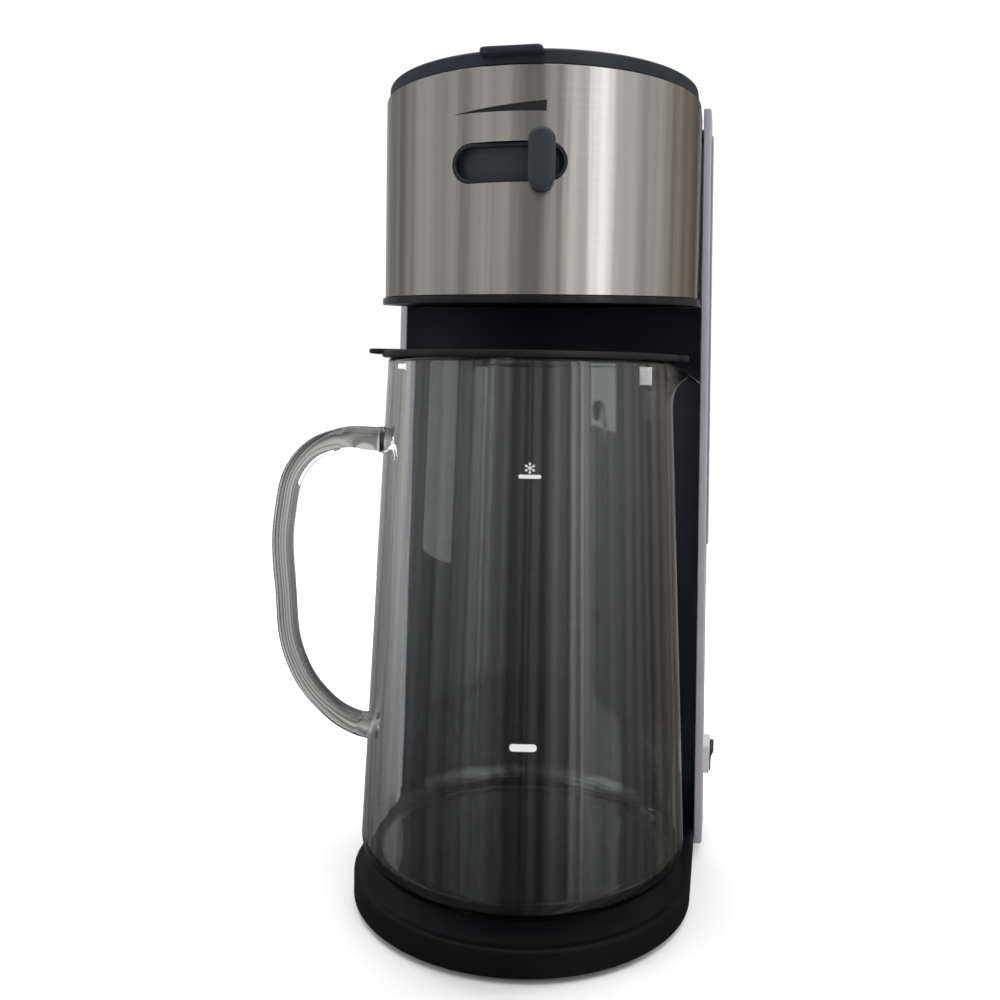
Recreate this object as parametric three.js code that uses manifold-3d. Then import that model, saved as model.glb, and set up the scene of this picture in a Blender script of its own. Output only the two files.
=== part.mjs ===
// Iced tea maker: an electric brewer with its glass pitcher, as an assembly of separate pieces.
// Millimetres, +Z up. The front, with the selector slot, faces -Y. The brewing head's axis is x = 0, y = 0
// while the pieces are made. At the end the group moves so that the origin is at the bottom centre.
import * as THREE from "three";
import { mergeVertices } from "three/addons/utils/BufferGeometryUtils.js";
import Module from "manifold-3d";

const wasm = await Module();
wasm.setup();

// Driving sizes in plan: everything else is set round the pitcher
const bellyOuter = 81.2; // pitcher, outer radius at its foot
const pitcherTaper = 11.4; // how much smaller that radius is at the rim
const baseMargin = 3.2; // base, beyond the pitcher
const shellInset = 0.4; // rear shell at its top, inside the base's outline
const shellFlare = 5; // how much wider each side of the shell and the tower front is at the bottom
const shellEdge = 3.9; // width of the shell's front edge, thickened inwards
const bandGap = 0.6; // between the shell's front edge and the steel band
const lidInset = 1.5; // lid, inside the band's outline
const pitcherAxisY = -24; // the pitcher and the round base stand forward of the head
const pitcherBackGap = 2.8; // between the pitcher and the hollow tower front
const nicheDepth = 31; // of the hollow tower front, from the shell's front edge
const towerDepth = 96; // of the oval back
const hingeFromBack = 34;
const wellY = -8; // centre of the brew basket's well

const bodyHalfWidth = bellyOuter + baseMargin;
const shellHalfWidth = bodyHalfWidth - shellInset;
const headRadius = shellHalfWidth - shellEdge - bandGap;
const lidHalfWidth = headRadius - lidInset;
const nicheBackY = pitcherAxisY + bellyOuter + pitcherBackGap;
const seamY = nicheBackY - nicheDepth; // front edge of the rear shell
const sideEndY = nicheBackY; // the straight sides end here and the oval back begins
const backY = sideEndY + towerDepth;
const hingeY = backY - hingeFromBack; // lid hinge axis

// Driving heights, stacked from the table up
const footHeight = 2.5;
const baseEdgeRise = 12.5;
const landingRise = 6;
const pitcherHeight = 246;
const pitcherLidThickness = 3.2;
const headClearance = 20.7;
const rimHeight = 3.8;
const bandHeight = 99.6;
const headClimb = 6; // the head's lower edge climbs this much from its front to the shell's edge
const lidSeam = 0.6;
const lidThickness = 7;
const shellBelowLidTop = 1.5;

// Clearances and the overrun of every cut
const overrun = 2;
const seatGap = 0.3;
const runGap = 0.5;
const weld = 0.001;

// Walls
const baseWall = 2.5;
const shellWall = 2.7;
const panelWall = 2.5;
const housingWall = 2.4;
const bandThickness = 0.8;
const tankWall = 2;
const glassWall = 2.8;

// Levels that follow from the stack
const baseBottom = footHeight;
const baseTop = baseBottom + baseEdgeRise;
const landingTop = baseTop + landingRise;
const pitcherFoot = landingTop + seatGap;
const pitcherRim = pitcherFoot + pitcherHeight;
const headBottom = pitcherRim + seatGap + pitcherLidThickness + headClearance;
const bandBottom = headBottom + rimHeight;
const bandTop = bandBottom + bandHeight;
const lidBottom = bandTop + lidSeam;
const lidTop = lidBottom + lidThickness;
const shellTop = lidTop - shellBelowLidTop;

// Finishes
function finish(color, roughness, metalness = 0) {
  return new THREE.MeshStandardMaterial({ color, roughness, metalness });
}

const blackPlastic = finish("#14161a", 0.45);
const slatePlastic = finish("#3a4149", 0.42);
const silverPlastic = finish("#b8b6c0", 0.4);
const clearPlastic = finish("#c9d2da", 0.15);
const brushedSteel = finish("#a09a90", 0.3, 1);
const plainSteel = finish("#9a9ca0", 0.35, 1);
const castAluminium = finish("#8c8f93", 0.55, 1);
const whitePlastic = finish("#d6d8da", 0.5);
const blackRubber = finish("#1b1b1c", 0.85);
const paleSilicone = finish("#d9d4c8", 0.6);
const clearGlass = finish("#dfe6e4", 0.05);
clearGlass.transparent = true;
clearGlass.opacity = 0.35;

// Solids from three.js shapes
const arcSteps = 12; // three.js makes twice as many segments of each large arc
const endSteps = 4;
const cornerSteps = 2;
const turnSteps = 48;
const insideTurnSteps = 32; // pieces inside the head
const smallTurnSteps = 12;

function solidOf(geometry) {
  const bare = geometry.clone();
  bare.deleteAttribute("normal");
  bare.deleteAttribute("uv");
  const merged = mergeVertices(bare, weld);
  const corners = merged.index.array;
  const kept = [];
  for (let i = 0; i < corners.length; i += 3) {
    const [a, b, c] = corners.slice(i, i + 3);
    if (a !== b && b !== c && c !== a) kept.push(a, b, c);
  }
  const vertProperties = new Float32Array(merged.attributes.position.array);
  return new wasm.Manifold(new wasm.Mesh({ numProp: 3, vertProperties, triVerts: new Uint32Array(kept) }));
}

// A flat outline raised from one level to another, with its edges rounded if asked.
function slab(shape, low, high, rounding = 0, roundingSteps = 2) {
  const geometry = new THREE.ExtrudeGeometry(shape, {
    depth: high - low - 2 * rounding,
    bevelEnabled: rounding > 0,
    bevelThickness: rounding,
    bevelSize: rounding,
    bevelOffset: -rounding,
    bevelSegments: roundingSteps,
    curveSegments: arcSteps,
  });
  geometry.translate(0, 0, low + rounding);
  return solidOf(geometry);
}

// A closed [radius, height] profile turned about the vertical line through x, y.
function turned(profile, x = 0, y = 0, steps = turnSteps) {
  const area = profile.reduce((sum, [r, z], i) => {
    const [nextR, nextZ] = profile[(i + 1) % profile.length];
    return sum + r * nextZ - nextR * z;
  }, 0);
  const ordered = area > 0 ? profile : [...profile].reverse();
  const onAxis = ordered.filter(([r]) => r === 0).length > 0;
  const points = ordered.map(([r, z]) => new THREE.Vector2(r, z));
  while (onAxis && !(points[0].x === 0 && points[points.length - 1].x === 0)) points.push(points.shift());
  if (!onAxis) points.push(points[0].clone());
  const geometry = new THREE.LatheGeometry(points, steps);
  geometry.rotateX(Math.PI / 2);
  geometry.translate(x, y, 0);
  return solidOf(geometry);
}

const drum = (radius, low, high, x = 0, y = 0, steps = smallTurnSteps) =>
  turned([[0, low], [radius, low], [radius, high], [0, high]], x, y, steps);

const tube = (outer, bore, low, high, x = 0, y = 0, steps = smallTurnSteps) =>
  turned([[bore, low], [outer, low], [outer, high], [bore, high]], x, y, steps);

function block(lowCorner, highCorner) {
  const size = highCorner.map((high, i) => high - lowCorner[i]);
  const geometry = new THREE.BoxGeometry(...size);
  geometry.translate(...highCorner.map((high, i) => (high + lowCorner[i]) / 2));
  return solidOf(geometry);
}

// An outline drawn in x and z, pushed through from y = front to y = back.
function through(shape, front, back) {
  const depth = back - front;
  const geometry = new THREE.ExtrudeGeometry(shape, { depth, bevelEnabled: false, curveSegments: arcSteps });
  geometry.rotateX(Math.PI / 2);
  geometry.translate(0, back, 0);
  return solidOf(geometry);
}

// The same outline with few points on its arcs.
const coarse = (shape, steps) => new THREE.Shape(shape.getPoints(steps).slice(0, -1));

const joined = (first, ...others) => others.reduce((sum, other) => sum.add(other), first);
const without = (first, ...others) => others.reduce((rest, other) => rest.subtract(other), first);

// Outlines in plan
function roundFront(shape, halfWidth, centreY) {
  shape.absarc(0, centreY, halfWidth, Math.PI, 2 * Math.PI, false);
}

// Round front, straight sides, oval back.
function bodyOutline(halfWidth, frontCentreY, rearY) {
  const shape = new THREE.Shape();
  roundFront(shape, halfWidth, frontCentreY);
  shape.lineTo(halfWidth, sideEndY);
  shape.absellipse(0, sideEndY, halfWidth, rearY - sideEndY, 0, Math.PI, false);
  return shape;
}

// Where the oval back of such an outline stands at a distance x from the middle.
function backAt(x, halfWidth, rearY) {
  return sideEndY + (rearY - sideEndY) * Math.sqrt(1 - (x / halfWidth) ** 2);
}

// Round front, straight sides, straight back.
function apronOutline(halfWidth, frontCentreY, rearY) {
  const shape = new THREE.Shape();
  roundFront(shape, halfWidth, frontCentreY);
  shape.lineTo(halfWidth, rearY);
  shape.lineTo(-halfWidth, rearY);
  return shape;
}

function rectangle(lowX, lowY, highX, highY) {
  const shape = new THREE.Shape();
  shape.moveTo(lowX, lowY);
  shape.lineTo(highX, lowY);
  shape.lineTo(highX, highY);
  shape.lineTo(lowX, highY);
  return shape;
}

// A bar with round ends, lying along the first axis.
function racetrack(centreX, centreY, halfLength, radius) {
  const shape = new THREE.Shape();
  const reach = halfLength - radius;
  shape.absarc(centreX + reach, centreY, radius, -Math.PI / 2, Math.PI / 2, false);
  shape.absarc(centreX - reach, centreY, radius, Math.PI / 2, (3 * Math.PI) / 2, false);
  shape.closePath();
  return coarse(shape, endSteps);
}

function roundedBox(centreX, centreY, halfWidth, halfHeight, radius) {
  const shape = new THREE.Shape();
  const x = halfWidth - radius;
  const y = halfHeight - radius;
  shape.absarc(centreX + x, centreY - y, radius, -Math.PI / 2, 0, false);
  shape.absarc(centreX + x, centreY + y, radius, 0, Math.PI / 2, false);
  shape.absarc(centreX - x, centreY + y, radius, Math.PI / 2, Math.PI, false);
  shape.absarc(centreX - x, centreY - y, radius, Math.PI, (3 * Math.PI) / 2, false);
  shape.closePath();
  return coarse(shape, cornerSteps);
}

// A ring's slice, centred on the -Y direction turned by middle degrees towards +X.
function sector(innerRadius, outerRadius, middle, halfAngle) {
  const start = THREE.MathUtils.degToRad(middle - 90 - halfAngle);
  const end = THREE.MathUtils.degToRad(middle - 90 + halfAngle);
  const shape = new THREE.Shape();
  shape.absarc(0, 0, outerRadius, start, end, false);
  shape.absarc(0, 0, innerRadius, end, start, true);
  shape.closePath();
  return coarse(shape, Math.ceil(halfAngle / 8));
}

// The tower front is hollowed by one arc, and what lies behind it runs parallel to that arc.
const panelHalfWidth = shellHalfWidth - shellEdge - seatGap;
const nicheRadius = (panelHalfWidth ** 2 + nicheDepth ** 2) / (2 * nicheDepth);
const nicheCentreY = nicheBackY - nicheRadius;

// Where an arc parallel to the niche, set back by offset, stands at a distance x from the middle.
const nicheY = (offset, x) => nicheCentreY + Math.sqrt((nicheRadius + offset) ** 2 - x ** 2);

function nicheArc(shape, offset, halfWidth, leftwards) {
  const rightAngle = Math.acos(halfWidth / (nicheRadius + offset));
  const [from, to] = leftwards ? [rightAngle, Math.PI - rightAngle] : [Math.PI - rightAngle, rightAngle];
  shape.absarc(0, nicheCentreY, nicheRadius + offset, from, to, !leftwards);
}

// The shell and the tower front widen towards the bottom, as mouldings drawn off a tapered core do.
const flareAt = (z) => 1 + (shellFlare / shellHalfWidth) * ((shellTop - z) / shellTop);

function reshaped(solid, move) {
  const mesh = solid.getMesh();
  const vertProperties = new Float32Array(mesh.vertProperties);
  for (let i = 0; i < vertProperties.length; i += 3) {
    vertProperties.set(move(...vertProperties.slice(i, i + 3)), i);
  }
  const triVerts = new Uint32Array(mesh.triVerts);
  return new wasm.Manifold(new wasm.Mesh({ numProp: 3, vertProperties, triVerts }));
}

const flared = (solid) => reshaped(solid, (x, y, z) => [x * flareAt(z), y, z]);

// The head's lower edge climbs towards the shell, and so does what meets it.
const climbAt = (y) => (headClimb * (y + headRadius)) / (seamY + headRadius);

function climbing(solid) {
  const follows = (z) => z > headBottom - overrun && z < bandBottom + overrun;
  return reshaped(solid, (x, y, z) => [x, y, follows(z) ? z + climbAt(y) : z]);
}

// The group and its pieces
const machine = new THREE.Group();

function add(parent, name, solid, material) {
  const mesh = solid.getMesh();
  const geometry = new THREE.BufferGeometry();
  geometry.setAttribute("position", new THREE.BufferAttribute(new Float32Array(mesh.vertProperties), 3));
  geometry.setIndex(new THREE.BufferAttribute(new Uint32Array(mesh.triVerts), 1));
  geometry.computeVertexNormals();
  const piece = new THREE.Mesh(geometry, material);
  piece.name = name;
  parent.add(piece);
  return piece;
}

const sides = [["left", -1], ["right", 1]];

// Base: screws, feet and where they stand
const screwShank = 1.5;
const screwHead = 3.2;
const screwHeadHeight = 1.5;
const screwLength = 8;
const screwClearance = 0.4;
const bossRadius = 4;
const screwInsets = { front: 32.4, mid: 22.4, shell: 39.4 }; // from the base's side
const frontScrewReach = 26;
const midScrewReach = 16;
const shellScrewReach = 10.5; // from the base's back
const frontScrew = { x: bodyHalfWidth - screwInsets.front, y: pitcherAxisY - frontScrewReach };
const midScrew = { x: bodyHalfWidth - screwInsets.mid, y: seamY + midScrewReach };
const shellScrewX = bodyHalfWidth - screwInsets.shell;
const baseRearY = backY - shellWall - runGap;
const shellScrew = { x: shellScrewX, y: backAt(shellScrewX, bodyHalfWidth, baseRearY) - shellScrewReach };
const footRadius = 8;
const footPeg = 2.5;
const footChamferShare = 0.17; // of the rim round the peg
const footInsets = { front: 42.4, rear: 36.4 };
const frontFootReach = 50;
const rearFootReach = 44;
const frontFoot = { x: bodyHalfWidth - footInsets.front, y: pitcherAxisY - frontFootReach };
const rearFoot = { x: bodyHalfWidth - footInsets.rear, y: backY - rearFootReach };
const plateRecess = 0.6;
const plateThickness = 2.4;
const plateBottom = baseBottom + plateRecess;
const plateTop = plateBottom + plateThickness;
const skirtRise = 5; // height of the base below the rear shell
const shellBottom = baseBottom + skirtRise;

const bothSides = (point) => sides.map(([, side]) => [side * point.x, point.y]);

// Base housing: moulded cover with a ridge, a sloped top and a raised landing for the pitcher
const ridgeRounding = 1.4;
const ridgeWidth = 3.4;
const landingInset = 13.2; // from the pitcher's outline
const landingGrooveInset = 6;
const landingRadius = bellyOuter - landingInset;
const landingGrooveRadius = landingRadius - landingGrooveInset;
const landingGrooveDepth = 0.6;
const landingGrooveWidth = 1.6;
const soleReach = 6; // how far the base's roof runs back behind the tower front

function baseHousing() {
  const inner = bodyHalfWidth - baseWall;
  const ceiling = baseTop - baseWall;
  const domeRadius = bodyHalfWidth - ridgeWidth;
  const grooveOuter = landingGrooveRadius + landingGrooveWidth;
  const body = slab(bodyOutline(bodyHalfWidth, pitcherAxisY, baseRearY), baseBottom, baseTop, ridgeRounding);
  const dome = turned(
    [
      [0, ceiling],
      [domeRadius, ceiling],
      [domeRadius, baseTop],
      [landingRadius, landingTop],
      [0, landingTop],
    ],
    0,
    pitcherAxisY,
  );
  const innerOutline = bodyOutline(inner, pitcherAxisY, baseRearY - baseWall);
  const hollow = slab(innerOutline, baseBottom - overrun, ceiling);
  const roofEnd = nicheBackY + panelWall + soleReach;
  const rearOpening = slab(innerOutline, ceiling - overrun, baseTop + overrun).subtract(
    block([-bodyHalfWidth, pitcherAxisY - bodyHalfWidth, 0], [bodyHalfWidth, roofEnd, landingTop]),
  );
  const domeHollow = turned(
    [
      [0, ceiling - overrun],
      [domeRadius - baseWall, ceiling - overrun],
      [domeRadius - baseWall, ceiling],
      [landingRadius - baseWall, landingTop - baseWall],
      [0, landingTop - baseWall],
    ],
    0,
    pitcherAxisY,
  );
  const groove = tube(
    grooveOuter,
    landingGrooveRadius,
    landingTop - landingGrooveDepth,
    landingTop + overrun,
    0,
    pitcherAxisY,
    turnSteps,
  );
  const bossUnder = (screw, roof) =>
    bothSides(screw).map(([x, y]) => drum(bossRadius, plateTop + seatGap, roof + baseWall / 2, x, y));
  const bosses = [...bossUnder(frontScrew, landingTop - baseWall), ...bossUnder(midScrew, ceiling)];
  const bores = [...bothSides(frontScrew), ...bothSides(midScrew)].map(([x, y]) =>
    drum(screwShank + seatGap, plateTop - overrun, plateBottom + screwLength, x, y),
  );
  const shellOfBase = without(joined(body, dome), hollow, rearOpening, domeHollow, groove);
  return without(joined(shellOfBase, ...bosses), ...bores);
}

// Base plate: closes the housing from below, with vent slots, screw holes and sockets for the feet
const ventCount = 4;
const ventPitch = 7;
const ventWidth = 3;
const ventLength = 34;
const ventInset = 43.4;
const ventReach = 18;

function basePlate() {
  const inset = baseWall + seatGap;
  const outline = bodyOutline(bodyHalfWidth - inset, pitcherAxisY, baseRearY - inset);
  const plate = slab(outline, plateBottom, plateTop);
  const cutLow = plateBottom - overrun;
  const cutHigh = plateTop + overrun;
  const screws = [frontScrew, midScrew, shellScrew].flatMap(bothSides);
  const holes = screws.map(([x, y]) => drum(screwShank + screwClearance, cutLow, cutHigh, x, y));
  const sockets = [frontFoot, rearFoot].flatMap(bothSides);
  const pegHoles = sockets.map(([x, y]) => drum(footPeg + seatGap, cutLow, cutHigh, x, y));
  const ventFront = sideEndY + ventReach - ventLength / 2;
  const vents = [];
  for (const [, side] of sides) {
    for (let i = 0; i < ventCount; i += 1) {
      const x = side * (bodyHalfWidth - ventInset + i * ventPitch);
      const vent = rectangle(x - ventWidth / 2, ventFront, x + ventWidth / 2, ventFront + ventLength);
      vents.push(slab(vent, cutLow, cutHigh));
    }
  }
  return without(plate, ...holes, ...pegHoles, ...vents);
}

// Foot: rubber disc with a peg that is pushed through the plate
function foot(x, y) {
  const top = plateBottom - seatGap;
  const chamfer = (footRadius - footPeg) * footChamferShare;
  const pegTop = plateTop + seatGap;
  const profile = [
    [0, 0],
    [footRadius - chamfer, 0],
    [footRadius, chamfer],
    [footRadius, top],
    [footPeg, top],
    [footPeg, pegTop],
    [0, pegTop],
  ];
  return turned(profile, x, y, smallTurnSteps);
}

// Screw: pan head under the plate, plain shank into its boss
function screw(x, y) {
  const seat = plateBottom - seatGap;
  return joined(
    drum(screwHead, seat - screwHeadHeight, seat, x, y),
    drum(screwShank, seat - screwHeadHeight, plateBottom + screwLength - seatGap, x, y),
  );
}

add(machine, "base_housing", baseHousing(), blackPlastic);
add(machine, "base_plate", basePlate(), blackPlastic);
for (const [label, side] of sides) {
  add(machine, "foot_front_" + label, foot(side * frontFoot.x, frontFoot.y), blackRubber);
  add(machine, "foot_rear_" + label, foot(side * rearFoot.x, rearFoot.y), blackRubber);
  add(machine, "screw_front_" + label, screw(side * frontScrew.x, frontScrew.y), plainSteel);
  add(machine, "screw_mid_" + label, screw(side * midScrew.x, midScrew.y), plainSteel);
  add(machine, "screw_rear_" + label, screw(side * shellScrew.x, shellScrew.y), plainSteel);
}

// Tower front: dark panel hollowed round the pitcher, with a return at each side
const panelReturn = 1; // how far each side return runs back past the arc's end
const panelReturnY = nicheY(panelWall, panelHalfWidth - panelWall) + panelReturn;

function towerFront() {
  const inner = panelHalfWidth - panelWall;
  const shape = new THREE.Shape();
  nicheArc(shape, 0, panelHalfWidth, false);
  shape.lineTo(panelHalfWidth, panelReturnY);
  shape.lineTo(inner, panelReturnY);
  shape.lineTo(inner, nicheY(panelWall, inner));
  nicheArc(shape, panelWall, inner, true);
  shape.lineTo(-inner, panelReturnY);
  shape.lineTo(-panelHalfWidth, panelReturnY);
  return slab(shape, baseTop + seatGap, headBottom - seatGap);
}

add(machine, "tower_front", flared(climbing(towerFront())), blackPlastic);

const knuckleRadius = lidThickness / 2;
const lidRearEdge = hingeY - knuckleRadius - runGap;

// Rear shell: silver casing with the gauge window's opening, the switch opening and the cord hole
const shellInner = shellHalfWidth - shellWall;
const edgeDepth = 2.5;
const ledgeWidth = 7.5;
const ledgeThickness = 2.5;
const ledgeDrop = 8; // below the shell's top, under the lid's edge
const ledgeReach = 12; // from the shell's front edge back to the ledge
const shellRounding = 0.9;
const tankBottom = 140;
const shelfWidth = 4;
const shelfThickness = 3;
const switchHalfWidth = 10.5;
const switchY = panelReturnY + switchHalfWidth;
const gaugeY = switchY;
const gaugeWidth = 14;
const gaugeAboveTank = 28.5;
const gaugeBelowTop = 10;
const gaugeLow = tankBottom + gaugeAboveTank;
const gaugeHigh = shellTop - gaugeBelowTop;
const gaugeProud = 1;
const switchZ = 51.5;
const switchHalfHeight = 8;
const switchProud = 3.4;
const switchCorner = 1.5;
const cordHoleRadius = 6.3;
const cordZ = 24;

// An outline drawn in y and z, pushed through from x = low to x = high.
function sideways(shape, low, high) {
  const depth = high - low;
  const geometry = new THREE.ExtrudeGeometry(shape, { depth, bevelEnabled: false, curveSegments: arcSteps });
  geometry.rotateX(Math.PI / 2);
  geometry.rotateZ(Math.PI / 2);
  geometry.translate(low, 0, 0);
  return solidOf(geometry);
}

function gaugeOutline(inset) {
  const halfWidth = gaugeWidth / 2 - inset;
  const halfHeight = (gaugeHigh - gaugeLow) / 2 - inset;
  return roundedBox(gaugeY, (gaugeLow + gaugeHigh) / 2, halfWidth, halfHeight, halfWidth);
}

function rearShell() {
  const wholeOutline = bodyOutline(shellHalfWidth, seamY, backY);
  const innerOutline = (inset) => bodyOutline(shellInner - inset, seamY, backY - shellWall - inset);
  const before = (y) => block([-bodyHalfWidth, seamY - bodyHalfWidth, -overrun], [bodyHalfWidth, y, lidTop]);
  const after = (y) => block([-bodyHalfWidth, y, -overrun], [bodyHalfWidth, backY + overrun, lidTop]);
  const ring = (width, low, high) =>
    without(slab(wholeOutline, low, high), slab(innerOutline(width), low - overrun, high + overrun));
  const wall = without(
    slab(wholeOutline, shellBottom, shellTop, shellRounding),
    slab(innerOutline(0), shellBottom - overrun, shellTop + overrun),
  );
  const edgeRing = ring(shellEdge - shellWall, shellBottom + shellRounding, shellTop - shellRounding);
  const edge = edgeRing.subtract(after(seamY + edgeDepth));
  const shelfTop = tankBottom - seatGap;
  const shelf = ring(shelfWidth, shelfTop - shelfThickness, shelfTop).subtract(before(sideEndY));
  const ledgeTop = shellTop - ledgeDrop;
  const ledgeRing = ring(ledgeWidth, ledgeTop - ledgeThickness, ledgeTop);
  const ledge = without(ledgeRing, before(seamY + ledgeReach), after(lidRearEdge));
  const casing = joined(wall, edge, shelf, ledge).subtract(before(seamY));
  const bossTop = plateTop + 2 * screwLength;
  const bossCentres = bothSides({ x: shellScrew.x / flareAt(plateTop), y: shellScrew.y });
  const bosses = bossCentres.map(([x, y]) => drum(bossRadius, plateTop + seatGap, bossTop, x, y));
  const bossBridges = bossCentres.map(([x, y]) => {
    const far = backAt(Math.abs(x) + bossRadius / 2, shellHalfWidth, backY) - shellWall / 2;
    return block([x - bossRadius / 2, y, baseTop + seatGap], [x + bossRadius / 2, far, bossTop]);
  });
  const boreTop = plateBottom + screwLength;
  const bores = bossCentres.map(([x, y]) => drum(screwShank + seatGap, plateTop - overrun, boreTop, x, y));
  const sideHole = (outline) => sideways(outline, shellInner - overrun, shellHalfWidth + overrun);
  const gauge = sideHole(gaugeOutline(0));
  const switchHole = sideHole(roundedBox(switchY, switchZ, switchHalfWidth, switchHalfHeight, switchCorner));
  const cordOutline = racetrack(0, cordZ, cordHoleRadius, cordHoleRadius);
  const cordHole = through(cordOutline, backY - shellWall - overrun, backY + overrun);
  return without(joined(casing, ...bosses, ...bossBridges), ...bores, gauge, switchHole, cordHole);
}

add(machine, "rear_shell", flared(rearShell()), silverPlastic);

// Water gauge window: clear strip, slightly proud of the shell
const gaugeWindow = sideways(gaugeOutline(seatGap), shellInner - seatGap, shellHalfWidth + gaugeProud);

add(machine, "gauge_window", flared(gaugeWindow), clearPlastic);

// Reservoir: inner tank behind a channel for the riser, with an outlet nipple under it
const riserChannel = 11.5;
const tankSideGap = 0.8;
const tankBelowTop = 14;
const tankTop = shellTop - tankBelowTop;
const pipeRadius = 3.6;
const pipeBore = 2.2;
const hoseWall = 2;
const hoseOuter = pipeRadius + seatGap + hoseWall;
const riserY = nicheBackY + panelWall + hoseOuter + runGap;
const pipeX = 27;
const pipeInTank = 16; // from the middle of the tank's front wall back to the outlet
const pipeY = nicheBackY + panelWall + riserChannel + pipeInTank;
const nippleLength = 12;

function tankOutline(inset) {
  const halfWidth = shellInner - tankSideGap - inset;
  const offset = panelWall + riserChannel + inset;
  const rearY = backY - shellWall - tankSideGap - inset;
  const shape = new THREE.Shape();
  nicheArc(shape, offset, halfWidth, false);
  shape.lineTo(halfWidth, sideEndY);
  shape.absellipse(0, sideEndY, halfWidth, rearY - sideEndY, 0, Math.PI, false);
  return shape;
}

function reservoir() {
  const inside = slab(tankOutline(tankWall), tankBottom + tankWall, tankTop + overrun);
  const cup = slab(tankOutline(0), tankBottom, tankTop).subtract(inside);
  const tip = tankBottom - nippleLength;
  const nipple = drum(pipeRadius, tip, tankBottom + tankWall / 2, pipeX, pipeY);
  const bore = drum(pipeBore, tip - overrun, tankBottom + tankWall + overrun, pipeX, pipeY);
  return without(joined(cup, nipple), bore);
}

add(machine, "reservoir", reservoir(), whitePlastic);

// Brewing head: black housing with the basket's well, a sunk deck and the selector's chamber
const housingRadius = headRadius - bandThickness - seatGap;
const rimProud = 1.3;
const rimRadius = headRadius + rimProud;
const rimRounding = 1.5;
const floorThickness = 2.5;
const deckSink = 8.5;
const deckThickness = 2.4;
const wellInset = 23.5;
const wellRadius = headRadius - wellInset;
const wellWall = 2.2;
const outletHole = 14;
const deckTop = bandTop - deckSink;
const wellSeat = headBottom + floorThickness + climbAt(wellY + wellRadius); // level seat of the basket
const chamberRadius = housingRadius - housingWall;
const slotAboveBand = 57.9;
const slotX = -1.2; // middle of the slot
const slotHalfLength = 26.2;
const slotHalfHeight = 8.9;
const slotZ = bandBottom + slotAboveBand;

// Selector: knob angle at rest, and the curved plate that rides behind the slot
const knobAngle = 10.1;
const knobTravel = 12.6; // largest turn of the knob to either side of the slot's middle
const carriageHalfHeight = 12;
const carriageHalfAngle = 35;
const carriageThickness = 2;
const railThickness = 1.6;
const railDepth = 4;
const carriageOuter = chamberRadius - runGap;
const carriageInner = carriageOuter - carriageThickness;
const shutterHalfAngle = 14;
const shutterThickness = 1.6;
const neckSetback = 2.5; // behind the plate
const neckThickness = 2.4;
const neckOuter = carriageInner - neckSetback;
const neckInner = neckOuter - neckThickness;
const shutterLap = 1.2; // inside the neck
const shutterInner = neckInner - shutterLap;
const bypassRadius = neckOuter;
const bypassHole = 2.6;
const bypassPitch = 8;
const bypassCount = 3;

function housingOutline(inset) {
  const halfWidth = housingRadius - inset;
  const shape = new THREE.Shape();
  roundFront(shape, halfWidth, 0);
  shape.lineTo(halfWidth, nicheY(panelWall - inset, halfWidth));
  nicheArc(shape, panelWall - inset, halfWidth, true);
  return shape;
}

function slotPrism(margin) {
  const endAngle = Math.asin(slotHalfLength / housingRadius);
  const innerY = -(chamberRadius * Math.cos(endAngle) - overrun);
  const outline = racetrack(slotX, slotZ, slotHalfLength - margin, slotHalfHeight - margin);
  return through(outline, -(headRadius + overrun), innerY);
}

function headHousing() {
  const floorTop = headBottom + floorThickness;
  const deckBottom = deckTop - deckThickness;
  const body = slab(housingOutline(0), headBottom, bandTop);
  const rimOutline = apronOutline(rimRadius, 0, seamY - seatGap);
  const rim = slab(rimOutline, headBottom, bandBottom - seatGap, rimRounding);
  const wellPost = drum(wellRadius + wellWall, floorTop - overrun, deckBottom + overrun, 0, wellY, turnSteps);
  const chamber = slab(housingOutline(housingWall), floorTop, deckBottom).subtract(wellPost);
  const sinkOutline = apronOutline(chamberRadius, 0, nicheBackY + panelWall + overrun);
  const sink = slab(sinkOutline, deckTop, bandTop + overrun);
  const well = drum(wellRadius, wellSeat, deckTop + overrun, 0, wellY, turnSteps);
  const outlet = drum(outletHole, headBottom - overrun, wellSeat + overrun, 0, wellY, turnSteps);
  const rails = [-1, 1].map((side) => {
    const near = slotZ + side * (carriageHalfHeight + seatGap);
    const far = near + side * railThickness;
    const reach = carriageHalfAngle + knobTravel;
    const shape = sector(chamberRadius - railDepth, chamberRadius + housingWall / 2, 0, reach);
    return slab(shape, Math.min(near, far), Math.max(near, far));
  });
  const bypass = [];
  for (let i = 0; i < bypassCount; i += 1) {
    const angle = THREE.MathUtils.degToRad(knobAngle + (i - (bypassCount - 1) / 2) * bypassPitch);
    const centre = [bypassRadius * Math.sin(angle), -bypassRadius * Math.cos(angle)];
    bypass.push(drum(bypassHole, deckBottom - overrun, deckTop + overrun, ...centre));
  }
  const hollow = without(joined(body, rim), chamber, sink);
  return climbing(without(joined(hollow, ...rails), well, outlet, slotPrism(0), ...bypass));
}

add(machine, "head_housing", headHousing(), blackPlastic);

// Steel band: one brushed sheet bent round the head, with the slot pressed through
function steelBand() {
  const outer = slab(apronOutline(headRadius, 0, seamY - seatGap), bandBottom, bandTop);
  const innerOutline = apronOutline(headRadius - bandThickness, 0, seamY + overrun);
  const inner = slab(innerOutline, bandBottom - overrun, bandTop + overrun);
  return climbing(without(outer, inner, slotPrism(0)));
}

add(machine, "steel_band", steelBand(), brushedSteel);

// Selector bezel: dark lining of the slot, curved with the band
const bezelWidth = 1.5;
const bezelProud = 0.4;

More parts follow.
